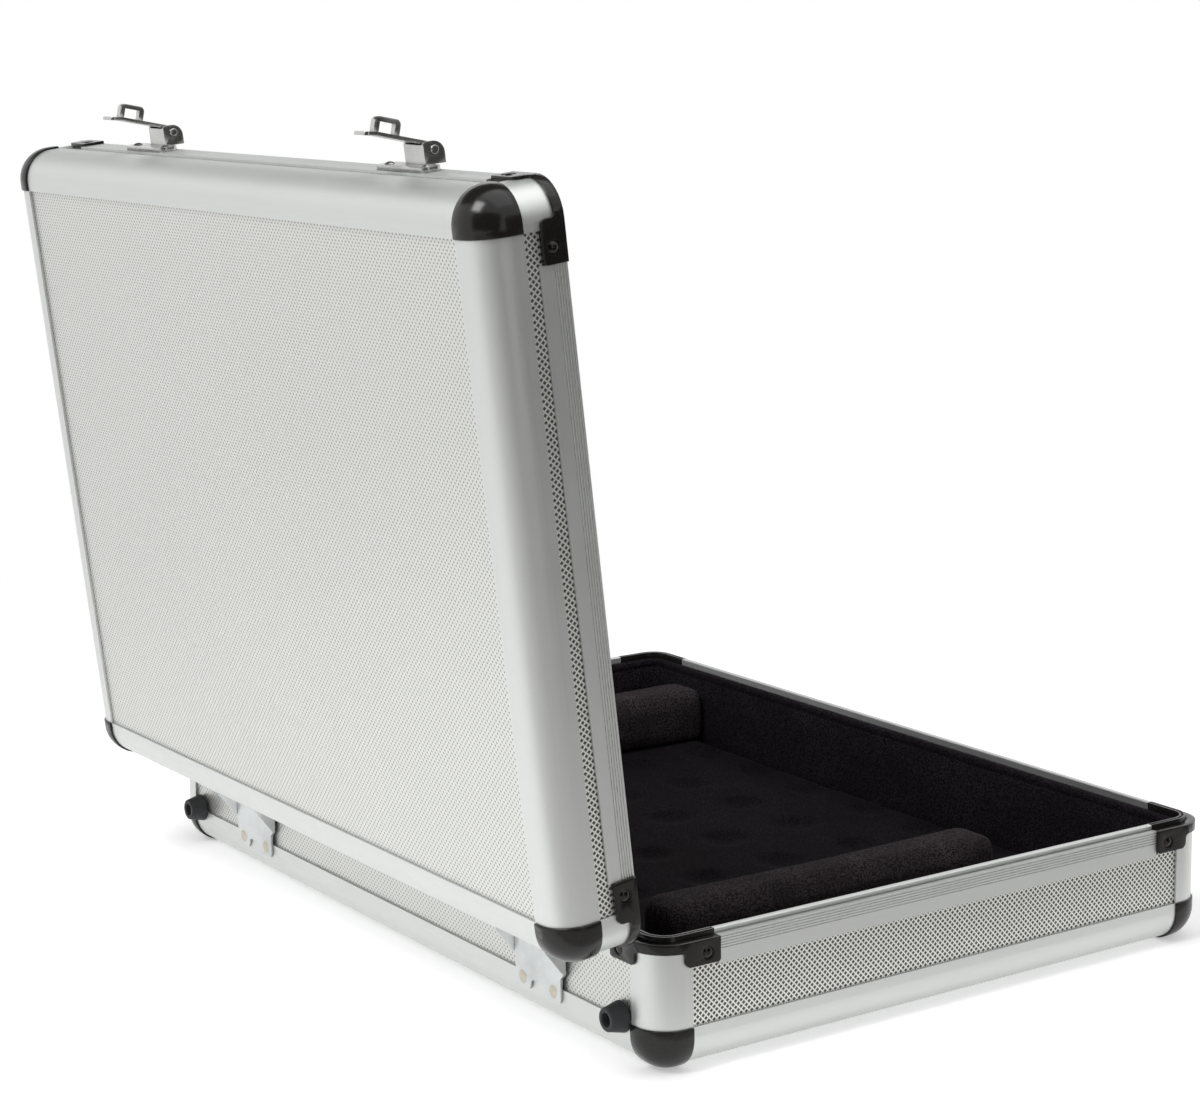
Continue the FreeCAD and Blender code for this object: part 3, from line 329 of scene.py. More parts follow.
@dataclass(frozen=True)
class Pattern:
    """A node group that several finishes share, made when it is first placed.

    Attributes:
        title: The group's name.
        gives: Its outputs, all plain numbers.
        fill: Makes its nodes, and returns one socket for each output.
        vectors: Its inputs that are coordinates.
        numbers: Its inputs that are numbers, with their first values.
    """

    title: str
    gives: tuple[str, ...]
    fill: Callable[[Sheet, Sockets], tuple[Socket, ...]]
    vectors: tuple[str, ...] = ("Vector",)
    numbers: dict[str, float] = field(default_factory=dict)

    def tree(self) -> bpy.types.NodeTree:
        """Finds or makes the group.

        Returns:
            The node group.
        """
        found = bpy.data.node_groups.get(self.title)
        if found is not None:
            return found
        made = bpy.data.node_groups.new(self.title, "ShaderNodeTree")
        sockets = made.interface
        for name in self.vectors:
            sockets.new_socket(name=name, in_out="INPUT", socket_type="NodeSocketVector")
        for name, value in self.numbers.items():
            number = sockets.new_socket(name=name, in_out="INPUT", socket_type="NodeSocketFloat")
            number.default_value = value
        for name in self.gives:
            sockets.new_socket(name=name, in_out="OUTPUT", socket_type="NodeSocketFloat")
        source, result = made.nodes.new("NodeGroupInput"), made.nodes.new("NodeGroupOutput")
        for name, socket in zip(self.gives, self.fill(Sheet(made), source.outputs)):
            made.links.new(socket, result.inputs[name])
        return made

    def put(self, sheet: Sheet, **inputs: Value) -> Sockets:
        """Places the group in a material.

        Args:
            sheet: The material's nodes.
            inputs: A socket or plain value for each of the group's inputs.

        Returns:
            The group's outputs.
        """
        node = sheet.add("Group")
        node.node_tree = self.tree()
        for name, value in inputs.items():
            sheet.feed(node.inputs[name], value)
        return node.outputs


def pits(sheet: Sheet, takes: Sockets) -> tuple[Socket, Socket]:
    """Staggered small pits with faint ridges between them, for the rolled panels.

    Args:
        sheet: The group's nodes.
        takes: Place across and up, the pitch of the pits, and their size.

    Returns:
        The height, and the ground, which is 1 between the pits and 0 inside them.
    """
    across = sheet.calc("DIVIDE", takes["Across"], takes["Pitch"])
    up = sheet.calc("DIVIDE", takes["Up"], takes["Pitch"])
    far = []
    for step in ("ADD", "SUBTRACT"):
        part = sheet.calc("FRACT", sheet.calc(step, across, up))
        far.append(sheet.calc("ABSOLUTE", sheet.calc("SUBTRACT", part, 0.5)))
    both = sheet.times(sheet.calc("MINIMUM", *far), takes["Size"])
    either = sheet.times(sheet.calc("MAXIMUM", *far), 2.0)
    ground = sheet.between(both, low=0.34, high=0.86, start=1.0, end=0.0)
    ridge = sheet.between(either, low=0.35, high=1.0, start=1.0, end=0.0)
    return sheet.weighed((ground, 0.7), (ridge, 0.3)), ground


def crevices(sheet: Sheet, takes: Sockets) -> tuple[Socket]:
    """Painted shade in grooves and corners, found by ambient occlusion.

    Args:
        sheet: The group's nodes.
        takes: How far it looks for walls.

    Returns:
        The painted shade, from 0 in the open to 1 deep inside.
    """
    hidden = sheet.add("AmbientOcclusion", samples=6, only_local=False)
    sheet.feed(hidden.inputs["Distance"], takes["Reach"])
    return (sheet.between(hidden.outputs["AO"], low=0.25, high=0.92, start=1.0, end=0.0),)


def die_lines(sheet: Sheet, takes: Sockets) -> tuple[Socket, Socket]:
    """Fine lengthwise lines, slow clouding and blasted grain, for drawn and anodised metal.

    Args:
        sheet: The group's nodes.
        takes: Coordinates, and the same squeezed across the run.

    Returns:
        The lines alone, and all three together.
    """
    lines = sheet.noise(takes["Stretched"], scale=24.0, detail=3.0, roughness=0.6)
    cloud = sheet.noise(takes["Vector"], scale=14.0, detail=3.0, roughness=0.55)
    blast = sheet.noise(takes["Vector"], scale=1700.0, detail=2.0, roughness=0.6)
    return lines, sheet.weighed((lines, 0.3), (cloud, 0.3), (blast, 0.4))


def handling(sheet: Sheet, takes: Sockets) -> tuple[Socket, Socket]:
    """Faint smears and dust that make a polished surface uneven.

    Args:
        sheet: The group's nodes.
        takes: Coordinates, and the amount.

    Returns:
        The smears and the dust.
    """
    smear = sheet.between(sheet.noise(takes["Vector"], scale=38.0, detail=4.0, roughness=0.6),
                          low=0.42, high=0.75)
    speck = sheet.between(sheet.noise(takes["Vector"], scale=1500.0, detail=1.0),
                          low=0.70, high=0.78)
    return sheet.times(smear, takes["Amount"]), sheet.times(speck, takes["Amount"])


def edges(sheet: Sheet, takes: Sockets) -> tuple[Socket]:
    """A mask along worn edges, broken up by noise.

    Args:
        sheet: The group's nodes.
        takes: Coordinates, and the width of the worn edge.

    Returns:
        The wear.
    """
    soft = sheet.add("Bevel", samples=4)
    sheet.feed(soft.inputs["Radius"], takes["Width"])
    plain = sheet.add("NewGeometry").outputs["Normal"]
    turned = sheet.add("VectorMath", operation="DOT_PRODUCT")
    sheet.feed(turned.inputs[0], soft.outputs["Normal"])
    sheet.feed(turned.inputs[1], plain)
    mask = sheet.between(turned.outputs["Value"], low=0.80, high=0.995, start=1.0, end=0.0)
    broken = sheet.between(sheet.noise(takes["Vector"], scale=420.0, detail=3.0, roughness=0.7),
                           low=0.35, high=0.6)
    return (sheet.times(mask, broken),)


def grain(sheet: Sheet, takes: Sockets) -> tuple[Socket, Socket]:
    """The pebbled grain of moulded plastic and rubber.

    Args:
        sheet: The group's nodes.
        takes: Coordinates, and grains per metre.

    Returns:
        The height, and a slow clouding.
    """
    cells = sheet.add("TexVoronoi", feature="SMOOTH_F1")
    sheet.feed(cells.inputs["Vector"], takes["Vector"])
    sheet.feed(cells.inputs["Scale"], takes["Scale"])
    pebble = sheet.between(cells.outputs["Distance"], low=0.1, high=0.7, start=1.0, end=0.0)
    return pebble, sheet.noise(takes["Vector"], scale=60.0, detail=3.0)


def nap(sheet: Sheet, takes: Sockets) -> tuple[Socket, Socket, Socket]:
    """The brushed nap of lining cloth: short loops, slow shading and lint.

    Args:
        sheet: The group's nodes.
        takes: Coordinates.

    Returns:
        The height, the shading and the lint.
    """
    vector = takes["Vector"]
    cells = sheet.add("TexVoronoi", feature="F1")
    sheet.feed(cells.inputs["Vector"], vector)
    cells.inputs["Scale"].default_value = 1100.0
    loop = sheet.between(cells.outputs["Distance"], low=0.0, high=0.8, start=1.0, end=0.0)
    fuzz = sheet.noise(vector, scale=950.0, detail=3.0, roughness=0.7)
    brushed = sheet.noise(sheet.mapped(vector, Scale=(1.0, 2.2, 1.6)), scale=26.0, detail=3.0,
                          roughness=0.6)
    lint = sheet.between(sheet.noise(vector, scale=900.0, detail=1.0), low=0.765, high=0.80)
    return sheet.weighed((loop, 0.55), (fuzz, 0.45)), brushed, lint


ROLLED_PITS = Pattern("Rolled pits", ("Height", "Ground"), pits, (),
                      {"Across": 0.0, "Up": 0.0, "Pitch": 2.65 * MM, "Size": 2.0})
# Ambient occlusion made into painted shade, which darkens colour in grooves and corners.
CREVICE_PAINTED_SHADE = Pattern("Crevice grime", ("Grime",), crevices, (), {"Reach": 2.0 * MM})
DIE_LINES = Pattern("Die lines", ("Lines", "Tone"), die_lines, ("Vector", "Stretched"))
HANDLING_MARKS = Pattern("Handling marks", ("Smear", "Dust"), handling, numbers={"Amount": 0.5})
WORN_EDGES = Pattern("Worn edges", ("Wear",), edges, numbers={"Width": 0.4 * MM})
MOULDED_GRAIN = Pattern("Moulded grain", ("Height", "Cloud"), grain, numbers={"Scale": 1600.0})
CLOTH_NAP = Pattern("Cloth nap", ("Height", "Shade", "Lint"), nap)


@dataclass(frozen=True)
class Finish:
    """What every finish has.

    Attributes:
        title: The material's name.
        colour: Its main colour.
        roughness: How rough it is, from 0 to 1.
    """

    title: str
    colour: Colour
    roughness: float

    def paint(self, sheet: Sheet, surface: bpy.types.Node) -> None:
        """Joins the finish's own nodes to the surface shader; each finish has its own.

        Args:
            sheet: The material's nodes.
            surface: The surface shader.
        """
        raise NotImplementedError

    def material(self) -> bpy.types.Material:
        """Finds or makes the material.

        Returns:
            The material.
        """
        found = bpy.data.materials.get(self.title)
        if found is not None:
            return found
        made = bpy.data.materials.new(self.title)
        made.use_nodes = True
        made.diffuse_color = (*self.colour, 1.0)
        surface = made.node_tree.nodes["Principled BSDF"]
        surface.inputs["Base Color"].default_value = (*self.colour, 1.0)
        surface.inputs["Roughness"].default_value = self.roughness
        self.paint(Sheet(made.node_tree), surface)
        return made

    def uneven(self, sheet: Sheet, surface: bpy.types.Node, mask: Socket,
               reach: tuple[float, float], swing: tuple[float, float]) -> None:
        """Lets the roughness change over the surface.

        Args:
            sheet: The material's nodes.
            surface: The surface shader.
            mask: What it changes with.
            reach: The mask's values at which the change begins and ends.
            swing: What is added to the roughness at those two.
        """
        low, high = (self.roughness + change for change in swing)
        sheet.feed(surface.inputs["Roughness"], sheet.between(mask, *reach, start=low, end=high))

    def relief(self, sheet: Sheet, surface: bpy.types.Node, height: Socket, depth: float,
               strength: float) -> None:
        """Turns a height into bumps.

        Args:
            sheet: The material's nodes.
            surface: The surface shader.
            height: The height, from 0 to 1.
            depth: The bumps' depth in metres.
            strength: How much of the bumps shows.
        """
        bump = sheet.add("Bump")
        bump.inputs["Distance"].default_value = depth
        bump.inputs["Strength"].default_value = strength
        sheet.feed(bump.inputs["Height"], height)
        sheet.feed(surface.inputs["Normal"], bump.outputs["Normal"])


@dataclass(frozen=True)
class DrawnAluminium(Finish):
    """Satin anodised extrusion with lines along its run.

    Attributes:
        half: The half of the case that it is on.
        run: The way it was drawn.
        metal: How metallic it is.
        grime: How much painted shade darkens the colour in its grooves.
        wear: How much its edges are rubbed bright.
    """

    half: Half
    run: Run
    metal: float = 0.9
    grime: float = 0.75
    wear: float = 0.5

    def paint(self, sheet: Sheet, surface: bpy.types.Node) -> None:
        """Joins lines, clouding, painted shade in grooves and worn edges to the metal.

        Args:
            sheet: The material's nodes.
            surface: The surface shader.
        """
        surface.inputs["Metallic"].default_value = self.metal
        vector = sheet.place(self.half)
        lines = DIE_LINES.put(sheet, Vector=vector,
                              Stretched=sheet.mapped(vector, Scale=self.run.value))
        worn = WORN_EDGES.put(sheet, Vector=vector, Width=0.5 * MM)
        corners = CREVICE_PAINTED_SHADE.put(sheet, Reach=0.9 * MM)
        base = sheet.blend(lines["Tone"], toned(self.colour, 0.9), toned(self.colour, 1.06))
        # Painted shade: the colour is darkened to a quarter in grooves and corners that ambient
        # occlusion finds.
        base = sheet.blend(sheet.times(corners["Grime"], self.grime), base,
                           toned(self.colour, 0.25))
        base = sheet.blend(sheet.times(worn["Wear"], self.wear), base, toned(self.colour, 1.25))
        sheet.feed(surface.inputs["Base Color"], base)
        self.uneven(sheet, surface, lines["Tone"], reach=(0.3, 0.7), swing=(-0.04, 0.05))
        self.relief(sheet, surface, lines["Lines"], depth=0.004 * MM, strength=0.5)


@dataclass(frozen=True)
class RolledPanel(Finish):
    """Thin sheet rolled with small pits.

    Attributes:
        half: The half of the case that it is on.
        plane: The two directions that it spans.
        pit_shade: The painted shade in the pits.
        size: How wide the pits are; 2 leaves them small.
        pitch: The distance between pits in a row.
        metal: How metallic it is.
    """

    half: Half
    plane: Plane
    pit_shade: Colour
    size: float = 2.0
    pitch: float = 2.65 * MM
    metal: float = 0.75

    def paint(self, sheet: Sheet, surface: bpy.types.Node) -> None:
        """Joins pits with painted shade, clouding and relief to the metal.

        Args:
            sheet: The material's nodes.
            surface: The surface shader.
        """
        surface.inputs["Metallic"].default_value = self.metal
        vector = sheet.place(self.half)
        parts = sheet.add("SeparateXYZ")
        sheet.feed(parts.inputs[0], vector)
        across, up = self.plane.value
        pattern = ROLLED_PITS.put(sheet, Across=parts.outputs[across], Up=parts.outputs[up],
                                  Pitch=self.pitch, Size=self.size)
        cloud = sheet.noise(vector, scale=9.0, detail=3.0)
        tone = sheet.blend(cloud, toned(self.colour, 0.95), self.colour)
        # Painted shade: the pits are coloured darker than the ground, standing in for the shadow
        # in them.
        sheet.feed(surface.inputs["Base Color"], sheet.blend(pattern["Ground"], self.pit_shade, tone))
        self.uneven(sheet, surface, pattern["Ground"], reach=(0.0, 1.0), swing=(0.2, 0.0))
        self.relief(sheet, surface, pattern["Height"], depth=0.16 * MM, strength=0.6)


@dataclass(frozen=True)
class SatinMoulding(Finish):
    """Black moulding with a very fine grain and faint handling marks.

    Attributes:
        pebbles: Grains per metre.
        dust: How much of the dust shows.
        wear: How much its edges are rubbed.
        shine: The level of its mirror reflection.
    """

    pebbles: float = 2600.0
    dust: float = 0.2
    wear: float = 0.4
    shine: float = 0.35

    def paint(self, sheet: Sheet, surface: bpy.types.Node) -> None:
        """Joins grain, smears, dust and worn edges to the plastic.

        Args:
            sheet: The material's nodes.
            surface: The surface shader.
        """
        vector = sheet.place(Half.BASE)
        marks = HANDLING_MARKS.put(sheet, Vector=vector, Amount=0.6)
        worn = WORN_EDGES.put(sheet, Vector=vector, Width=0.35 * MM)
        base = sheet.blend(marks["Smear"], self.colour, toned(self.colour, 1.5, 0.003))
        base = sheet.blend(sheet.times(marks["Dust"], self.dust), base, DUST)
        base = sheet.blend(sheet.times(worn["Wear"], self.wear), base, RUBBED_MOULDING)
        sheet.feed(surface.inputs["Base Color"], base)
        pebbled = MOULDED_GRAIN.put(sheet, Vector=vector, Scale=self.pebbles)
        self.uneven(sheet, surface, marks["Smear"], reach=(0.0, 0.6), swing=(0.0, 0.08))
        surface.inputs["Specular IOR Level"].default_value = self.shine
        self.relief(sheet, surface, pebbled["Height"], depth=0.02 * MM, strength=0.4)


@dataclass(frozen=True)
class GrainedPlastic(Finish):
    """Matt moulding or rubber with a fine pebbled grain.

    Attributes:
        pebbles: Grains per metre.
        depth: The grain's depth.
        wear: How much its edges are rubbed.
    """

    pebbles: float
    depth: float
    wear: float = 0.4

    def paint(self, sheet: Sheet, surface: bpy.types.Node) -> None:
        """Joins grain and rubbed edges to the plastic.

        Args:
            sheet: The material's nodes.
            surface: The surface shader.
        """
        vector = sheet.place(Half.BASE)
        pebbled = MOULDED_GRAIN.put(sheet, Vector=vector, Scale=self.pebbles)
        worn = WORN_EDGES.put(sheet, Vector=vector, Width=0.5 * MM)
        base = sheet.blend(pebbled["Cloud"], self.colour, toned(self.colour, 1.7, 0.004))
        base = sheet.blend(sheet.times(worn["Wear"], self.wear), base, RUBBED_RUBBER)
        sheet.feed(surface.inputs["Base Color"], base)
        self.uneven(sheet, surface, pebbled["Height"], reach=(0.0, 1.0), swing=(0.08, -0.06))
        self.relief(sheet, surface, pebbled["Height"], depth=self.depth, strength=0.7)


@dataclass(frozen=True)
class PlatedSteel(Finish):
    """Bright or dark plated steel with smears and brighter edges.

    Attributes:
        marks: How strong the smears are.
        grime: How much painted shade darkens the colour in its corners.
        wear: How much its edges are rubbed bright.
    """

    marks: float
    grime: float = 0.85
    wear: float = 0.6

    def paint(self, sheet: Sheet, surface: bpy.types.Node) -> None:
        """Joins smears, painted shade in corners and edges to the plating.

        Args:
            sheet: The material's nodes.
            surface: The surface shader.
        """
        surface.inputs["Metallic"].default_value = 1.0
        vector = sheet.place(Half.BASE)
        marks = HANDLING_MARKS.put(sheet, Vector=vector, Amount=self.marks)
        worn = WORN_EDGES.put(sheet, Vector=vector, Width=0.3 * MM)
        base = sheet.blend(marks["Smear"], self.colour, toned(self.colour, 0.82))
        # Painted shade: the colour is darkened almost to black in corners that ambient occlusion
        # finds.
        corners = CREVICE_PAINTED_SHADE.put(sheet, Reach=2.2 * MM)
        base = sheet.blend(sheet.times(corners["Grime"], self.grime), base,
                           toned(self.colour, 0.10))
        base = sheet.blend(sheet.times(worn["Wear"], self.wear), base,
                           toned(self.colour, 1.3, 0.02))
        sheet.feed(surface.inputs["Base Color"], base)
        self.uneven(sheet, surface, marks["Smear"], reach=(0.0, 0.7), swing=(0.0, 0.16))
        self.relief(sheet, surface, sheet.noise(vector, scale=260.0, detail=2.0), depth=0.02 * MM,
                    strength=0.4)


@dataclass(frozen=True)
class NappedCloth(Finish):
    """Black lining cloth with a short brushed nap.

    Attributes:
        half: The half of the case that it is in.
        depth: The depth of its loops.
        lint: How much of the lint shows.
        shine: The level of its mirror reflection.
        sheen: The soft glow of its fibres.
    """

    half: Half
    depth: float = 0.25 * MM
    lint: float = 0.35
    shine: float = 0.02
    sheen: float = 0.02

    def paint(self, sheet: Sheet, surface: bpy.types.Node) -> None:
        """Joins nap, shading, painted shade between the loops, and lint to the cloth.

        Args:
            sheet: The material's nodes.
            surface: The surface shader.
        """
        cloth = CLOTH_NAP.put(sheet, Vector=sheet.place(self.half))
        shade = sheet.between(cloth["Shade"], low=0.3, high=0.75)
        base = sheet.blend(shade, self.colour, toned(self.colour, 1.9))
        # Painted shade: the cloth between the raised loops is coloured darker.
        raised = sheet.between(cloth["Height"], low=0.25, high=0.6)
        base = sheet.blend(raised, toned(self.colour, 0.45), base)
        base = sheet.blend(sheet.times(cloth["Lint"], self.lint), base, LINT)
        sheet.feed(surface.inputs["Base Color"], base)
        self.uneven(sheet, surface, cloth["Shade"], reach=(0.3, 0.7), swing=(-0.06, 0.04))
        surface.inputs["Specular IOR Level"].default_value = self.shine
        surface.inputs["Sheen Weight"].default_value = self.sheen
        surface.inputs["Sheen Roughness"].default_value = 0.5
        self.relief(sheet, surface, cloth["Height"], depth=self.depth, strength=0.6)


@dataclass(frozen=True)
class Hardboard(Finish):
    """Pressed fibre board behind the outer sheet."""

    def paint(self, sheet: Sheet, surface: bpy.types.Node) -> None:
        """Joins fibres to the board.

        Args:
            sheet: The material's nodes.
            surface: The surface shader.
        """
        vector = sheet.place(Half.BASE)
        fibres = sheet.noise(sheet.mapped(vector, Scale=(1.0, 3.0, 2.0)), scale=260.0, detail=4.0,
                             roughness=0.7)
        base = sheet.blend(fibres, toned(self.colour, 0.6), self.colour)
        sheet.feed(surface.inputs["Base Color"], base)
        self.uneven(sheet, surface, fibres, reach=(0.2, 0.8), swing=(-0.1, 0.1))
        self.relief(sheet, surface, fibres, depth=0.1 * MM, strength=0.5)


@dataclass(frozen=True)
class PaleFloor(Finish):
    """A pale studio floor that keeps the shadow near the case and fades to the white beyond.

    Attributes:
        middle: The point that the fading is measured from.
        near: Where the fading starts.
        far: Where only the white is left.
        lift: How much lighter the floor near the case looks than it is lit.
    """

    middle: Point = (0.0, 0.05, 0.0)
    near: float = 0.35
    far: float = 0.9
    lift: float = 0.4

    def paint(self, sheet: Sheet, surface: bpy.types.Node) -> None:
        """Fades the floor for the camera and for reflections, and leaves other rays alone.

        Args:
            sheet: The material's nodes.
            surface: The surface shader.
        """
        place = sheet.add("TexCoord").outputs["Object"]
        away = sheet.add("VectorMath", operation="LENGTH")
        sheet.feed(away.inputs[0], sheet.mapped(place, Location=[-c for c in self.middle]))
        share = sheet.between(away.outputs["Value"], low=self.near, high=self.far)
        seen = sheet.seen()
        white, lift = sheet.add("Emission"), sheet.add("Emission")
        for glow in (white, lift):
            glow.inputs["Color"].default_value = (*WHITE, 1.0)
        white.inputs["Strength"].default_value = 1.0
        sheet.feed(lift.inputs["Strength"], sheet.times(seen, self.lift))
        near = sheet.add("AddShader")
        sheet.feed(near.inputs[0], surface.outputs[0])
        sheet.feed(near.inputs[1], lift.outputs[0])
        mixed = sheet.add("MixShader")
        sheet.feed(mixed.inputs[0], sheet.times(share, seen))
        sheet.feed(mixed.inputs[1], near.outputs[0])
        sheet.feed(mixed.inputs[2], white.outputs[0])
        sheet.feed(sheet.tree.nodes["Material Output"].inputs["Surface"], mixed.outputs[0])
        speck = sheet.noise(place, scale=220.0, detail=3.0)
        base = sheet.blend(speck, toned(self.colour, 0.985), self.colour)
        sheet.feed(surface.inputs["Base Color"], base)


@dataclass(frozen=True)
class StudioCard(Finish):
    """Matt card of a plain tone with a faint fibre.

    Attributes:
        tone: How light the card looks in a reflection, from 0 to 1.
    """

    tone: float

    def paint(self, sheet: Sheet, surface: bpy.types.Node) -> None:
        """Gives the card its tone, whatever the lamps do.

        Args:
            sheet: The material's nodes.
            surface: The surface shader.
        """
        fibre = sheet.noise(sheet.place(Half.BASE), scale=6.0, detail=2.0)
        glow = sheet.blend(fibre, toned(self.colour, 0.9), self.colour)
        sheet.feed(surface.inputs["Emission Color"], glow)
        surface.inputs["Emission Strength"].default_value = self.tone
        surface.inputs["Base Color"].default_value = (0.0, 0.0, 0.0, 1.0)
        surface.inputs["Specular IOR Level"].default_value = 0.0


@dataclass(frozen=True)
class Palette:
    """Every finish of the case.

    Attributes:
        silver: Colour of the extrusions.
        panel: Colour of the rolled panels.
        cloth: Colour of the floor's and the lid's cushions.
        face_pit_shade: Painted shade in the pits of front, rear and face.
        side_pit_shade: Darker painted shade in the pits of the two ends, where they look wider.
        moulding: The corners' black plastic.
        rubber: Matt black rubber of the feet.
        grip: The handle's grained plastic.
        chrome: Chromed steel of latches, locks and handle brackets.
        nickel: Satin nickel of the hinges.
        rivet: The warmer nickel of the hinges' rivets.
        blackened: Blackened steel of the tabs' rivets and the feet's screws.
        wire: Drawn spring wire.
        divider: The dividers' cloth, more worn and lighter.
        board: Raw hardboard.
    """

    silver: Colour = (0.705, 0.72, 0.708)
    panel: Colour = (0.74, 0.745, 0.72)
    cloth: Colour = (0.0105, 0.0086, 0.0104)
    face_pit_shade: Colour = (0.29, 0.29, 0.275)
    side_pit_shade: Colour = (0.10, 0.095, 0.085)
    moulding: Finish = SatinMoulding("Black moulding", (0.0098, 0.0087, 0.0081), roughness=0.18)
    rubber: Finish = GrainedPlastic("Black rubber", (0.022, 0.023, 0.025), roughness=0.62,
                                    pebbles=2200.0, depth=0.05 * MM)
    grip: Finish = GrainedPlastic("Grained black plastic", (0.016, 0.017, 0.019), roughness=0.5,
                                  pebbles=1300.0, depth=0.09 * MM)
    chrome: Finish = PlatedSteel("Chromed steel", (0.56, 0.56, 0.55), roughness=0.22, marks=0.7,
                                 grime=0.75)
    nickel: Finish = PlatedSteel("Satin nickel", (0.66, 0.68, 0.68), roughness=0.36, marks=0.8,
                                 grime=0.7)
    rivet: Finish = PlatedSteel("Rivet nickel", (0.54, 0.515, 0.43), roughness=0.28, marks=0.5,
                                grime=0.95)
    blackened: Finish = PlatedSteel("Blackened steel", (0.045, 0.043, 0.042), roughness=0.2,
                                    marks=0.3)
    wire: Finish = PlatedSteel("Spring wire", (0.42, 0.43, 0.44), roughness=0.33, marks=0.8)
    divider: Finish = NappedCloth("Divider cloth", (0.042, 0.034, 0.0365), roughness=0.82,
                                  half=Half.BASE, depth=0.2 * MM)
    board: Finish = Hardboard("Raw hardboard", (0.23, 0.125, 0.055), roughness=0.85)

    def drawn(self, half: Half, run: Run) -> Finish:
        """Satin extrusion for one half and run."""
        title = f"Drawn aluminium {half.name.lower()} {run.name.lower()}"
        return DrawnAluminium(title, self.silver, roughness=0.46, half=half, run=run)

    def rolled(self, half: Half, plane: Plane) -> Finish:
        """Rolled panel for one half and plane; the ends face the light less and get painted
        light: a lighter ground and darker painted shade in their pits.

        Args:
            half: The half of the case.
            plane: The two directions that the panel spans.

        Returns:
            The finish.
        """
        title = f"Rolled panel {half.name.lower()} {plane.name.lower()}"
        if plane is Plane.SIDEWAYS:
            # Painted light: the ends get a lighter copy of the panel colour and darker painted
            # shade in their pits.
            painted_light_panel = toned(self.panel, 1.25)
            return RolledPanel(title, painted_light_panel, roughness=0.36, half=half, plane=plane,
                               pit_shade=self.side_pit_shade, size=3.3)
        return RolledPanel(title, self.panel, roughness=0.36, half=half, plane=plane,
                           pit_shade=self.face_pit_shade)

    def lining(self, half: Half) -> Finish:
        """Lining cloth on the walls, lighter than the cushions."""
        return NappedCloth(f"Lining cloth {half.name.lower()}", toned(self.cloth, 1.85),
                           roughness=0.9, half=half)

    def padding(self, half: Half) -> Finish:
        """Cloth over the floor's and the lid's cushions."""
        return NappedCloth(f"Padding cloth {half.name.lower()}", self.cloth, roughness=0.86,
                           half=half, depth=0.3 * MM)


def show(made: bpy.types.Object) -> bpy.types.Object:
    """Puts an object into the scene, and returns it."""
    bpy.context.scene.collection.objects.link(made)
    return made


def settle(work: bmesh.types.BMesh, title: str) -> bpy.types.Object:
    """Puts a finished mesh into the scene as an object at the origin.

    Args:
        work: The mesh, with its place in its vertices; it is freed.
        title: The object's name.

    Returns:
        The new object.
    """
    mesh = bpy.data.meshes.new(title)
    work.to_mesh(mesh)
    work.free()
    return show(bpy.data.objects.new(title, mesh))


def evaluated_mesh(piece: bpy.types.Object) -> bpy.types.Mesh:
    """Works a piece's modifiers into a plain mesh.

    Args:
        piece: The piece, which is left as it is.

    Returns:
        The new mesh.
    """
    graph = bpy.context.evaluated_depsgraph_get()
    graph.update()
    return bpy.data.meshes.new_from_object(piece.evaluated_get(graph))


def about_hinge(angle: float) -> Matrix:
    """A turn about the hinges' pins by an angle in radians."""
    hinge = Matrix.Translation((0.0, HINGE_Y, HINGE_Z))
    return hinge @ Matrix.Rotation(angle, 4, "X") @ hinge.inverted()


def body_of(node: str) -> str:
    """The body that a node of the frame rides on."""
    return frame["nodes"][node]["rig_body"]


def dress(node: str, finish: Finish) -> None:
    """Gives a node of the frame one finish.

    Args:
        node: The node's name.
        finish: Its finish.
    """
    materials = frame["nodes"][node].data.materials
    materials.clear()
    materials.append(finish.material())


@dataclass(frozen=True)
class SoftEdges:
    """Copies a solid's mesh and breaks its sharp edges, as stamping or moulding leaves them.

    Attributes:
        width: The width of the broken edge.
        sharp: Edges that turn by more than this, in degrees, are broken.
        steps: Faces across each broken edge.
        flat: Faces that turn by less than this, in degrees, become one.
        crease: Edges that turn by more than this, in degrees, are shaded sharp.
    """

    width: float
    sharp: float
    steps: int
    flat: float = 0.6
    crease: float = 34.0

    def copy(self, node: str, title: str) -> bpy.types.Object:
        """Makes the softened piece in place of a node.

        Args:
            node: The node of the frame.
            title: The new piece's name.

        Returns:
            The piece, riding on the node's body.
        """
        work = bmesh.new()
        work.from_mesh(frame["nodes"][node].data)
        bmesh.ops.remove_doubles(work, verts=work.verts, dist=0.002 * MM)
        bmesh.ops.dissolve_limit(work, angle_limit=math.radians(self.flat), verts=work.verts,
                                 edges=work.edges, use_dissolve_boundaries=False)
        limit = math.radians(self.sharp)
        broken = [edge for edge in work.edges
                  if len(edge.link_faces) == 2 and edge.calc_face_angle(0.0) > limit]
        bmesh.ops.bevel(work, geom=broken, offset=self.width, offset_type="OFFSET",
                        affect="EDGES", segments=self.steps, profile=0.5, material=-1,
                        clamp_overlap=True)
        bmesh.ops.triangulate(work, faces=[face for face in work.faces if len(face.verts) > 4])
        for face in work.faces:
            face.smooth = True
        piece = settle(work, title)
        piece.data.set_sharp_from_angle(angle=math.radians(self.crease))
        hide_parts(node)
        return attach(piece, body_of(node))


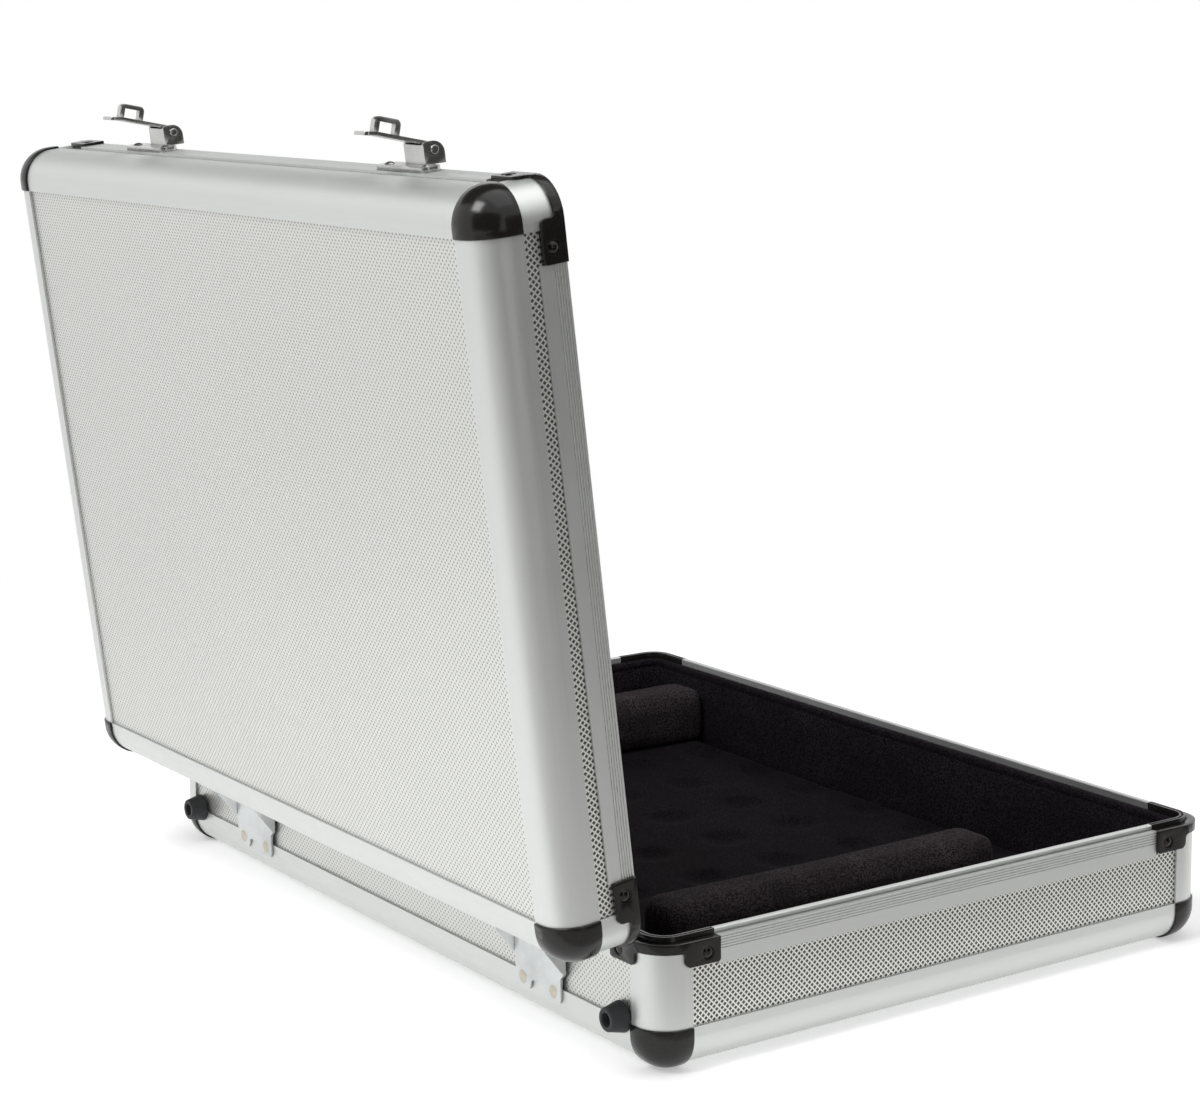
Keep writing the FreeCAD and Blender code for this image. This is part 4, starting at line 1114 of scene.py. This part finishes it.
@dataclass
class CaseShell:
    """The frame of extrusions and panels of both halves.

    Attributes:
        palette: The finishes.
        corner_edges: How the moulded corners' edges are broken.
        extrusions: The extrusions of a half, each with its run.
        walls: The panels of a half, each with its plane.
    """

    palette: Palette
    corner_edges: SoftEdges = SoftEdges(width=0.35 * MM, sharp=40.0, steps=2)
    extrusions: tuple[tuple[str, Run], ...] = (
        ("edge_front", Run.ACROSS), ("edge_rear", Run.ACROSS),
        ("edge_left", Run.DEEP), ("edge_right", Run.DEEP),
        ("rim_long", Run.ACROSS), ("rim_short", Run.DEEP), ("corner_columns", Run.UPRIGHT))
    walls: tuple[tuple[str, Plane], ...] = (
        ("wall_front", Plane.FRONTAL), ("wall_rear", Plane.FRONTAL),
        ("wall_left", Plane.SIDEWAYS), ("wall_right", Plane.SIDEWAYS),
        ("face_skin", Plane.FLAT))

    def metal(self, half: Half) -> None:
        """Dresses the extrusions, the panels and the board of one half.

        Args:
            half: The half of the case.
        """
        name = half.name.lower()
        for piece, run in self.extrusions:
            dress(f"{name}_{piece}", self.palette.drawn(half, run))
        for piece, plane in self.walls:
            dress(f"{name}_{piece}", self.palette.rolled(half, plane))
        dress(f"{name}_face_board", self.palette.board)

    def corners(self, half: Half) -> None:
        """Moulded corners with broken edges, and the rivets of one half.

        Args:
            half: The half of the case.
        """
        name = half.name.lower()
        for kind in ("ball_corners", "rim_corners"):
            piece = self.corner_edges.copy(f"{name}_{kind}", f"{name}_{kind}_moulded")
            piece.data.materials.append(self.palette.moulding.material())
        dress(f"{name}_rim_rivets", self.palette.blackened)
        dress(f"{name}_hinge_rivets", self.palette.rivet)

    def build(self) -> None:
        """Dresses both halves."""
        for half in Half:
            self.metal(half)
            self.corners(half)


@dataclass
class ReturnSpring:
    """The wound spring that pushes one lock's bolt back, wound at the length of its solid.

    Attributes:
        side: The lock's side, left or right.
        steel: Its finish.
        wire: The wire's diameter.
        coil: Radius of the wire's middle line.
        turns: How many turns it has.
        steps: Faces round one turn.
        facets: Faces round the wire.
        shut: The share of its length that is left when the bolt is drawn.
    """

    side: str
    steel: Finish
    wire: float = 0.45 * MM
    coil: float = 0.85 * MM
    turns: int = 6
    steps: int = 14
    facets: int = 8
    # shut: The share of its length that is left when the bolt is drawn; not used.
    shut: float = 0.36

    def build(self) -> bpy.types.Object:
        """Winds the wire round the spring's line.

        Returns:
            The spring, riding on the base.
        """
        node, title = f"lock_spring_{self.side}", f"lock_spring_{self.side}_wound"
        low, high = (Vector(corner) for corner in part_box(node))
        end = Vector((low.x, (low.y + high.y) / 2, (low.z + high.z) / 2))
        work = bmesh.new()
        bmesh.ops.create_circle(work, cap_ends=False, radius=self.wire / 2, segments=self.facets)
        start = end + Vector((self.wire / 2, self.coil, 0.0))
        bmesh.ops.translate(work, verts=work.verts, vec=start)
        count = self.turns * self.steps
        pitch = (high.x - low.x - self.wire) / count
        bmesh.ops.spin(work, geom=work.verts[:] + work.edges[:], cent=end, axis=(1.0, 0.0, 0.0),
                       dvec=(pitch, 0.0, 0.0), angle=math.tau * self.turns, steps=count,
                       use_duplicate=False, use_merge=False)
        bmesh.ops.holes_fill(work, edges=work.edges, sides=0)
        bmesh.ops.recalc_face_normals(work, faces=work.faces)
        for face in work.faces:
            face.smooth = len(face.verts) == 4
        piece = settle(work, title)
        piece.data.materials.append(self.steel.material())
        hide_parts(node)
        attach(piece, body_of(node))
        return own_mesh(piece)


@dataclass
class Hardware:
    """Latches, hinges, locks, handle and feet with their edges broken.

    Attributes:
        palette: The finishes.
        stamped: How stamped and cast parts' edges are broken.
        lock_edges: How the lock cases' edges are broken.
        grip_edges: How the handle's edges are broken.
        foot_edges: How the feet's edges are broken.
    """

    palette: Palette
    stamped: SoftEdges = SoftEdges(width=0.22 * MM, sharp=38.0, steps=2)
    lock_edges: SoftEdges = SoftEdges(width=0.4 * MM, sharp=40.0, steps=3)
    grip_edges: SoftEdges = SoftEdges(width=0.8 * MM, sharp=30.0, steps=3)
    foot_edges: SoftEdges = SoftEdges(width=0.45 * MM, sharp=30.0, steps=3)

    def soften(self, node: str, finish: Finish,
               edges: Optional[SoftEdges] = None) -> bpy.types.Object:
        """Puts a softened piece in place of a node.

        Args:
            node: The node of the frame.
            finish: The piece's finish.
            edges: How its edges are broken, if not as the stamped ones.

        Returns:
            The new piece.
        """
        piece = (edges or self.stamped).copy(node, f"{node}_finished")
        piece.data.materials.append(finish.material())
        return piece

    def latches(self) -> None:
        """Brackets, pins, screws and levers of the latches."""
        for node in ("latch_brackets", "latch_pins", "hasp_lever_left", "hasp_lever_right"):
            self.soften(node, self.palette.chrome)
        dress("latch_screws", self.palette.chrome)

    def hinges(self) -> None:
        """Leaves and pins of the hinges."""
        for node in ("hinge_base_leaves", "hinge_lid_leaves", "hinge_pins"):
            self.soften(node, self.palette.nickel)

    def locks(self) -> None:
        """Lock cases, bolts and springs."""
        for side in ("left", "right"):
            self.soften(f"lock_case_{side}", self.palette.chrome,
                        self.lock_edges)
            self.soften(f"lock_slide_{side}", self.palette.chrome)
            ReturnSpring(side, self.palette.wire).build()
        dress("front_rivets", self.palette.chrome)

    def handle(self) -> None:
        """The handle's grip, brackets and pins."""
        self.soften("handle_grip", self.palette.grip, self.grip_edges)
        for node in ("handle_brackets", "handle_pins"):
            self.soften(node, self.palette.chrome)

    def feet(self) -> None:
        """Rubber feet and their screws."""
        self.soften("rubber_feet", self.palette.rubber, self.foot_edges)
        dress("foot_screws", self.palette.blackened)

    def build(self) -> None:
        """Makes every group of hardware."""
        for make in (self.latches, self.hinges, self.locks, self.handle, self.feet):
            make()


@dataclass(frozen=True)
class ClothPuff:
    """Puffs a cushion up as cloth round foam.

    Attributes:
        voxel: The size of the remeshed faces.
        pressure: The pressure inside.
        cap: How far a point may move.
        inset: How much smaller than the solid it starts.
        spare: The share of extra cloth, which makes it wrinkle a little.
        frames: The steps of the simulation.
        quality: The simulation's steps in a frame.
        mass: The mass of each point.
    """

    voxel: float
    pressure: float
    cap: float
    inset: float
    spare: float
    frames: int = 20
    quality: int = 4
    mass: float = 0.25

    def start(self, node: str, title: str) -> bpy.types.Object:
        """Makes a slightly smaller, evenly meshed copy of a solid.

        Args:
            node: The node of the frame.
            title: The new piece's name.

        Returns:
            The new piece.
        """
        work = bmesh.new()
        work.from_mesh(frame["nodes"][node].data)
        bmesh.ops.remove_doubles(work, verts=work.verts, dist=SAME_POINT)
        work.normal_update()
        for vert in work.verts:
            vert.co -= vert.normal * self.inset
        piece = settle(work, title)
        remesh = piece.modifiers.new("Even faces", "REMESH")
        remesh.mode = "VOXEL"
        remesh.voxel_size = self.voxel
        self.work_in(piece)
        return piece

    def work_in(self, piece: bpy.types.Object) -> None:
        """Gives a piece the mesh that its modifiers make, and clears them.

        Args:
            piece: The piece.
        """
        made = evaluated_mesh(piece)
        piece.modifiers.clear()
        piece.data = made

    def simulate(self, piece: bpy.types.Object) -> None:
        """Runs the cloth and keeps its shape, with each point's move capped.

        Args:
            piece: The evenly meshed cushion.
        """
        scene = bpy.context.scene
        rest = [vert.co.copy() for vert in piece.data.vertices]
        cloth = piece.modifiers.new("Cloth", "CLOTH")
        cloth.settings.quality = self.quality
        cloth.settings.mass = self.mass
        cloth.settings.use_pressure = True
        cloth.settings.uniform_pressure_force = self.pressure
        cloth.settings.shrink_min = -self.spare
        cloth.settings.effector_weights.gravity = 0.0
        cloth.point_cache.frame_start = 1
        cloth.point_cache.frame_end = self.frames
        for step in range(1, self.frames + 1):
            scene.frame_set(step)
        puffed = evaluated_mesh(piece)
        moved = [vert.co.copy() for vert in puffed.vertices]
        piece.modifiers.clear()
        bpy.data.meshes.remove(puffed)
        scene.frame_set(1)
        for vert, before, after in zip(piece.data.vertices, rest, moved):
            move = after - before
            if move.length > self.cap:
                move *= self.cap / move.length
            vert.co = before + move

    def finish(self, piece: bpy.types.Object) -> None:
        """Smooths the shading and subdivides the piece once.

        Args:
            piece: The puffed cushion.
        """
        for face in piece.data.polygons:
            face.use_smooth = True
        finer = piece.modifiers.new("Finer", "SUBSURF")
        finer.levels = finer.render_levels = 1
        self.work_in(piece)


@dataclass
class Cushion:
    """A padded piece made from its solid: puffed, kept in its own space and dressed.

    Attributes:
        node: The solid that it stands for.
        title: The new piece's name.
        half: The half that it is in.
        puff: How it is puffed.
        cloth: Its finish.
        fill: How full it is, from 0 to 1; not used.
    """

    node: str
    title: str
    half: Half
    puff: ClothPuff
    cloth: Finish
    fill: float = 0.8

    def keep_inside(self, piece: bpy.types.Object) -> None:
        """Holds every point inside the solid's own box, read with the lid as if shut.

        Args:
            piece: The cushion.
        """
        turn = about_hinge(self.half.value)
        back = turn.inverted()
        solid = [turn @ vert.co for vert in frame["nodes"][self.node].data.vertices]
        low = Vector(min(spot[axis] for spot in solid) for axis in range(3))
        high = Vector(max(spot[axis] for spot in solid) for axis in range(3))
        for vert in piece.data.vertices:
            spot = turn @ vert.co
            for axis in range(3):
                spot[axis] = min(max(spot[axis], low[axis]), high[axis])
            vert.co = back @ spot

    def build(self) -> bpy.types.Object:
        """Makes the cushion.

        Returns:
            The cushion, riding on the solid's body.
        """
        piece = self.puff.start(self.node, self.title)
        self.puff.simulate(piece)
        self.keep_inside(piece)
        self.puff.finish(piece)
        self.keep_inside(piece)
        piece.data.name = self.title
        piece.data.materials.append(self.cloth.material())
        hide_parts(self.node)
        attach(piece, body_of(self.node))
        return piece


@dataclass
class WallLining:
    """Foam-backed cloth that runs round the walls of one half, with a turned-in top edge.

    Attributes:
        half: The half that it is in.
        node: The solid that it stands for.
        low: Its lower edge.
        high: Its upper edge.
        cloth: Its finish.
        half_x: Half the case's width.
        half_y: Half the case's depth.
        corner: The case's corner radius.
        middle: Distance from the case's outer face to the middle of the lining.
        thick: The lining's thickness.
        hem: The height of the turned-in edge.
        step: The spacing of its stations along a wall.
        bends: The steps round a corner.
        slack: How deep the cloth lies slack.
        fill: How full it is, from 0 to 1; not used.
    """

    half: Half
    node: str
    low: float
    high: float
    cloth: Finish
    half_x: float = 210.0 * MM
    half_y: float = 149.0 * MM
    corner: float = 14.0 * MM
    middle: float = 7.5 * MM
    thick: float = 2.9 * MM
    hem: float = 4.2 * MM
    step: float = 6.0 * MM
    bends: int = 6
    slack: float = 0.16 * MM
    fill: float = 0.5

    def stations(self) -> list[tuple[Vector, Vector]]:
        """Goes round the wall's middle line.

        Returns:
            The points, each with the direction outwards there.
        """
        bend = self.corner - self.middle
        reach = Vector((self.half_x - self.corner, self.half_y - self.corner, 0.0))
        centres = [Vector((side * reach.x, end * reach.y, 0.0))
                   for side, end in ((1, 1), (-1, 1), (-1, -1), (1, -1))]
        found = []
        for index, centre in enumerate(centres):
            for part in range(self.bends + 1):
                angle = math.pi / 2 * (index + part / self.bends)
                out = Vector((math.cos(angle), math.sin(angle), 0.0))
                found.append((centre + out * bend, out))
            start, goal = found[-1][0], centres[(index + 1) % 4] + out * bend
            count = int((goal - start).length / self.step)
            for part in range(1, count):
                found.append((start.lerp(goal, part / count), out))
        return found

    def section(self) -> list[tuple[float, float]]:
        """Goes up the lining's inner face, over its top and down its outer face.

        Returns:
            The closed section's points, each as an offset inwards and a height.
        """
        half, tall = self.thick / 2, self.high - self.low
        groove = tall - self.hem
        # The foot is rounded, a groove lies where the hem begins, and the top is rounded over.
        inside = [
            (half * 0.55, 0.0), (half, 1.2 * MM), (half, tall * 0.3), (half, tall * 0.6),
            (half * 0.98, groove - 1.6 * MM), (half * 0.72, groove - 0.5 * MM),
            (half * 0.55, groove), (half * 0.74, groove + 0.5 * MM),
            (half * 0.99, groove + 1.5 * MM), (half * 0.98, tall - 1.3 * MM),
            (half * 0.7, tall - 0.35 * MM), (half * 0.2, tall),
        ]
        outside = [
            (-half * 0.5, tall), (-half * 0.95, tall - 0.9 * MM), (-half, tall * 0.5),
            (-half, 1.0 * MM), (-half * 0.6, 0.0),
        ]
        return inside + outside

    def dip(self, column: int, share: float) -> float:
        """How far the cloth lies back at a station.

        Args:
            column: The station's number.
            share: The height as a share of the lining's.

        Returns:
            The depth, which is nothing near the foot and the hem.
        """
        if not 0.1 < share < 0.8:
            return 0.0
        wave = math.sin(column * 0.37 + 1.9 * math.sin(column * 0.11))
        return self.slack * (0.5 + 0.5 * wave)

    def build(self) -> bpy.types.Object:
        """Makes the lining.

        Returns:
            The lining, riding on its half's body.
        """
        stations, section = self.stations(), self.section()
        around, rows = len(stations), len(section)
        work = bmesh.new()
        bmesh.ops.create_grid(work, x_segments=around, y_segments=rows, size=0.5)
        turn = about_hinge(-self.half.value)
        for vert in work.verts:
            column = round((vert.co.x + 0.5) * around) % around
            spot, out = stations[column]
            inward, height = section[round((vert.co.y + 0.5) * rows) % rows]
            if inward > 0:
                inward -= self.dip(column, height / (self.high - self.low))
            vert.co = turn @ (spot - out * inward + Vector((0.0, 0.0, self.low + height)))
        bmesh.ops.remove_doubles(work, verts=work.verts, dist=SAME_POINT)
        bmesh.ops.recalc_face_normals(work, faces=work.faces)
        for face in work.faces:
            face.smooth = True
        piece = settle(work, f"{self.node}_sewn")
        piece.data.materials.append(self.cloth.material())
        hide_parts(self.node)
        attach(piece, body_of(self.node))
        return piece


@dataclass
class Interior:
    """Linings, floor cushion, dividers and lid cushion.

    Attributes:
        palette: The finishes.
        floor_puff: How the floor's cushion is puffed.
        divider_puff: How the dividers are puffed.
        lid_puff: How the lid's cushion is puffed.
    """

    palette: Palette
    floor_puff: ClothPuff = ClothPuff(voxel=3.6 * MM, pressure=4.0, cap=1.2 * MM,
                                      inset=0.6 * MM, spare=0.01)
    divider_puff: ClothPuff = ClothPuff(voxel=2.4 * MM, pressure=3.0, cap=1.0 * MM,
                                        inset=0.5 * MM, spare=0.01)
    lid_puff: ClothPuff = ClothPuff(voxel=4.5 * MM, pressure=4.0, cap=2.0 * MM,
                                    inset=0.8 * MM, spare=0.015)

    def build(self) -> None:
        """Makes every soft piece."""
        base, lid = Half.BASE, Half.LID
        pieces = (
            WallLining(base, "base_wall_lining", low=6.95 * MM, high=53.45 * MM,
                       cloth=self.palette.lining(base)),
            WallLining(lid, "lid_wall_lining", low=55.85 * MM, high=84.35 * MM,
                       cloth=self.palette.lining(lid)),
            Cushion("egg_crate_pad", "floor_cushion", base, self.floor_puff,
                    self.palette.padding(base)),
            Cushion("padded_dividers", "divider_cushions", base, self.divider_puff,
                    self.palette.divider),
            Cushion("lid_face_pad", "lid_cushion", lid, self.lid_puff,
                    self.palette.padding(lid)),
        )
        for piece in pieces:
            piece.build()


@dataclass
class Studio:
    """Camera, lamps, world, floor and cards.

    Attributes:
        eye: Where the camera stands.
        aim: The point that it looks at.
        roll: Its turn about its own line of sight, in degrees.
        focal: Its focal length in pixels of the photograph.
        across: The photograph's width in pixels.
        sensor: The sensor's width in millimetres.
        fill: The strength of the world's soft light on the case.
    """

    eye: Point = (-1.068, 0.749, 0.4125)
    aim: Point = (0.04659, 0.0, 0.15461)
    roll: float = 0.813
    focal: float = 2840.5
    across: float = 1200.0
    sensor: float = 36.0
    fill: float = 0.46

    def camera(self) -> None:
        """Sets the camera as the photograph's stood."""
        data = bpy.data.cameras.new("Camera")
        data.lens = self.focal / self.across * self.sensor
        data.sensor_width = self.sensor
        data.clip_start, data.clip_end = 0.05, 50.0
        made = show(bpy.data.objects.new("Camera", data))
        eye = Vector(self.eye)
        ahead = (Vector(self.aim) - eye).normalized()
        right = ahead.cross(Vector((0.0, 0.0, 1.0))).normalized()
        down = ahead.cross(right)
        turn = math.radians(self.roll)
        axis_x = right * math.cos(turn) + down * math.sin(turn)
        axis_y = right * math.sin(turn) - down * math.cos(turn)
        facing = Matrix((axis_x, axis_y, -ahead)).transposed().to_4x4()
        made.matrix_world = Matrix.Translation(eye) @ facing
        bpy.context.scene.camera = made

    def lamp(self, title: str, spot: Sequence[float], aim: Sequence[float],
             size: Sequence[float], power: float) -> None:
        """Adds a soft rectangular lamp.

        Args:
            title: The lamp's name.
            spot: Where it hangs.
            aim: The point that it faces.
            size: Its width and height.
            power: Its power in watts.
        """
        data = bpy.data.lights.new(title, "AREA")
        data.shape = "RECTANGLE"
        data.size, data.size_y = size
        data.energy = power
        made = show(bpy.data.objects.new(title, data))
        made.location = Vector(spot)
        ahead = Vector(aim) - Vector(spot)
        made.rotation_euler = ahead.to_track_quat("-Z", "Y").to_euler()

    def lamps(self) -> None:
        """A key lamp high at the rear, and a large weak one overhead."""
        self.lamp("Key", spot=(-0.25, 1.2, 1.5), aim=(-0.1, 0.1, 0.25), size=(0.66, 0.7),
                  power=16.0)
        self.lamp("Overhead", spot=(-0.45, -0.1, 1.75), aim=(0.0, 0.0, 0.1), size=(1.3, 1.5),
                  power=5.0)

    def card(self, title: str, spot: Sequence[float], aim: Sequence[float],
             size: Sequence[float], tone: float) -> None:
        """Adds a card that only metal and gloss can see, as a photographer stands one.

        Args:
            title: The card's name.
            spot: The middle of the card.
            aim: The point that it faces.
            size: Its width and height.
            tone: How light it is, from 0 to 1.
        """
        work = bmesh.new()
        bmesh.ops.create_grid(work, x_segments=1, y_segments=1, size=0.5)
        ahead = Vector(aim) - Vector(spot)
        facing = ahead.to_track_quat("Z", "Y").to_matrix().to_4x4()
        place = Matrix.Translation(Vector(spot)) @ facing @ Matrix.Diagonal((*size, 1.0, 1.0))
        bmesh.ops.transform(work, matrix=place, verts=work.verts)
        made = settle(work, title)
        finish = StudioCard(title, (1.0, 0.985, 0.96), roughness=1.0, tone=tone)
        made.data.materials.append(finish.material())
        made.visible_camera = made.visible_diffuse = made.visible_shadow = False
        made.visible_transmission = made.visible_volume_scatter = False
        made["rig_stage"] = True

    def cards(self) -> None:
        """Cards behind the camera, at the left, on the floor there and above the right."""
        middle = (0.0, 0.0, 0.2)
        self.card("Card behind camera", spot=(-1.2, 1.25, 0.6), aim=middle, size=(2.5, 1.45),
                  tone=0.05)
        self.card("Card at the side", spot=(-1.6, -0.85, 0.45), aim=middle, size=(1.8, 1.1),
                  tone=0.06)
        self.card("Card on the floor", spot=(-0.49, 0.05, 0.0015), aim=(-0.49, 0.05, 1.0),
                  size=(0.48, 1.9), tone=0.68)
        self.card("Far card on the floor", spot=(-1.32, -0.1, 0.0015), aim=(-1.32, -0.1, 1.0),
                  size=(1.18, 2.0), tone=0.05)
        self.card("Card above", spot=(1.30, 0.05, 1.7), aim=(1.30, 0.05, 0.0), size=(2.1, 2.6),
                  tone=0.08)

    def world(self) -> None:
        """White for the camera and for reflections, and a plain soft fill for all else."""
        made = bpy.data.worlds.new("Studio")
        made.use_nodes = True
        sheet = Sheet(made.node_tree)
        back = made.node_tree.nodes["Background"]
        back.inputs["Color"].default_value = (*WHITE, 1.0)
        strength = sheet.between(sheet.seen(), low=0.0, high=1.0, start=self.fill, end=1.0)
        sheet.feed(back.inputs["Strength"], strength)
        bpy.context.scene.world = made

    def floor(self) -> None:
        """A wide plain floor."""
        work = bmesh.new()
        bmesh.ops.create_grid(work, x_segments=24, y_segments=24, size=6.0)
        made = settle(work, "Floor")
        finish = PaleFloor("Pale floor", (0.86, 0.86, 0.86), roughness=0.9)
        made.data.materials.append(finish.material())
        made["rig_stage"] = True

    def build(self) -> None:
        """Sets up the whole studio."""
        for make in (self.camera, self.lamps, self.world, self.floor, self.cards):
            make()
        bpy.context.scene.view_settings.view_transform = "Standard"


def main() -> None:
    """Builds the studio and every part of the case in order."""
    logging.basicConfig(level=logging.INFO, format="%(name)s: %(message)s")
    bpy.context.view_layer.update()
    Studio().build()
    palette = Palette()
    parts: tuple[tuple[str, Callable[[], object]], ...] = (
        ("frame and panels", CaseShell(palette).build),
        ("latches, hinges, locks, handle and feet", Hardware(palette).build),
        ("linings and cushions", Interior(palette).build),
    )
    for title, make in parts:
        make()
        report.info("%s made", title)
    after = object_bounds()
    low, high = ([round(value, 4) for value in corner] for corner in after)
    report.info("box %s to %s", low, high)


if __name__ == "__main__":
    main()
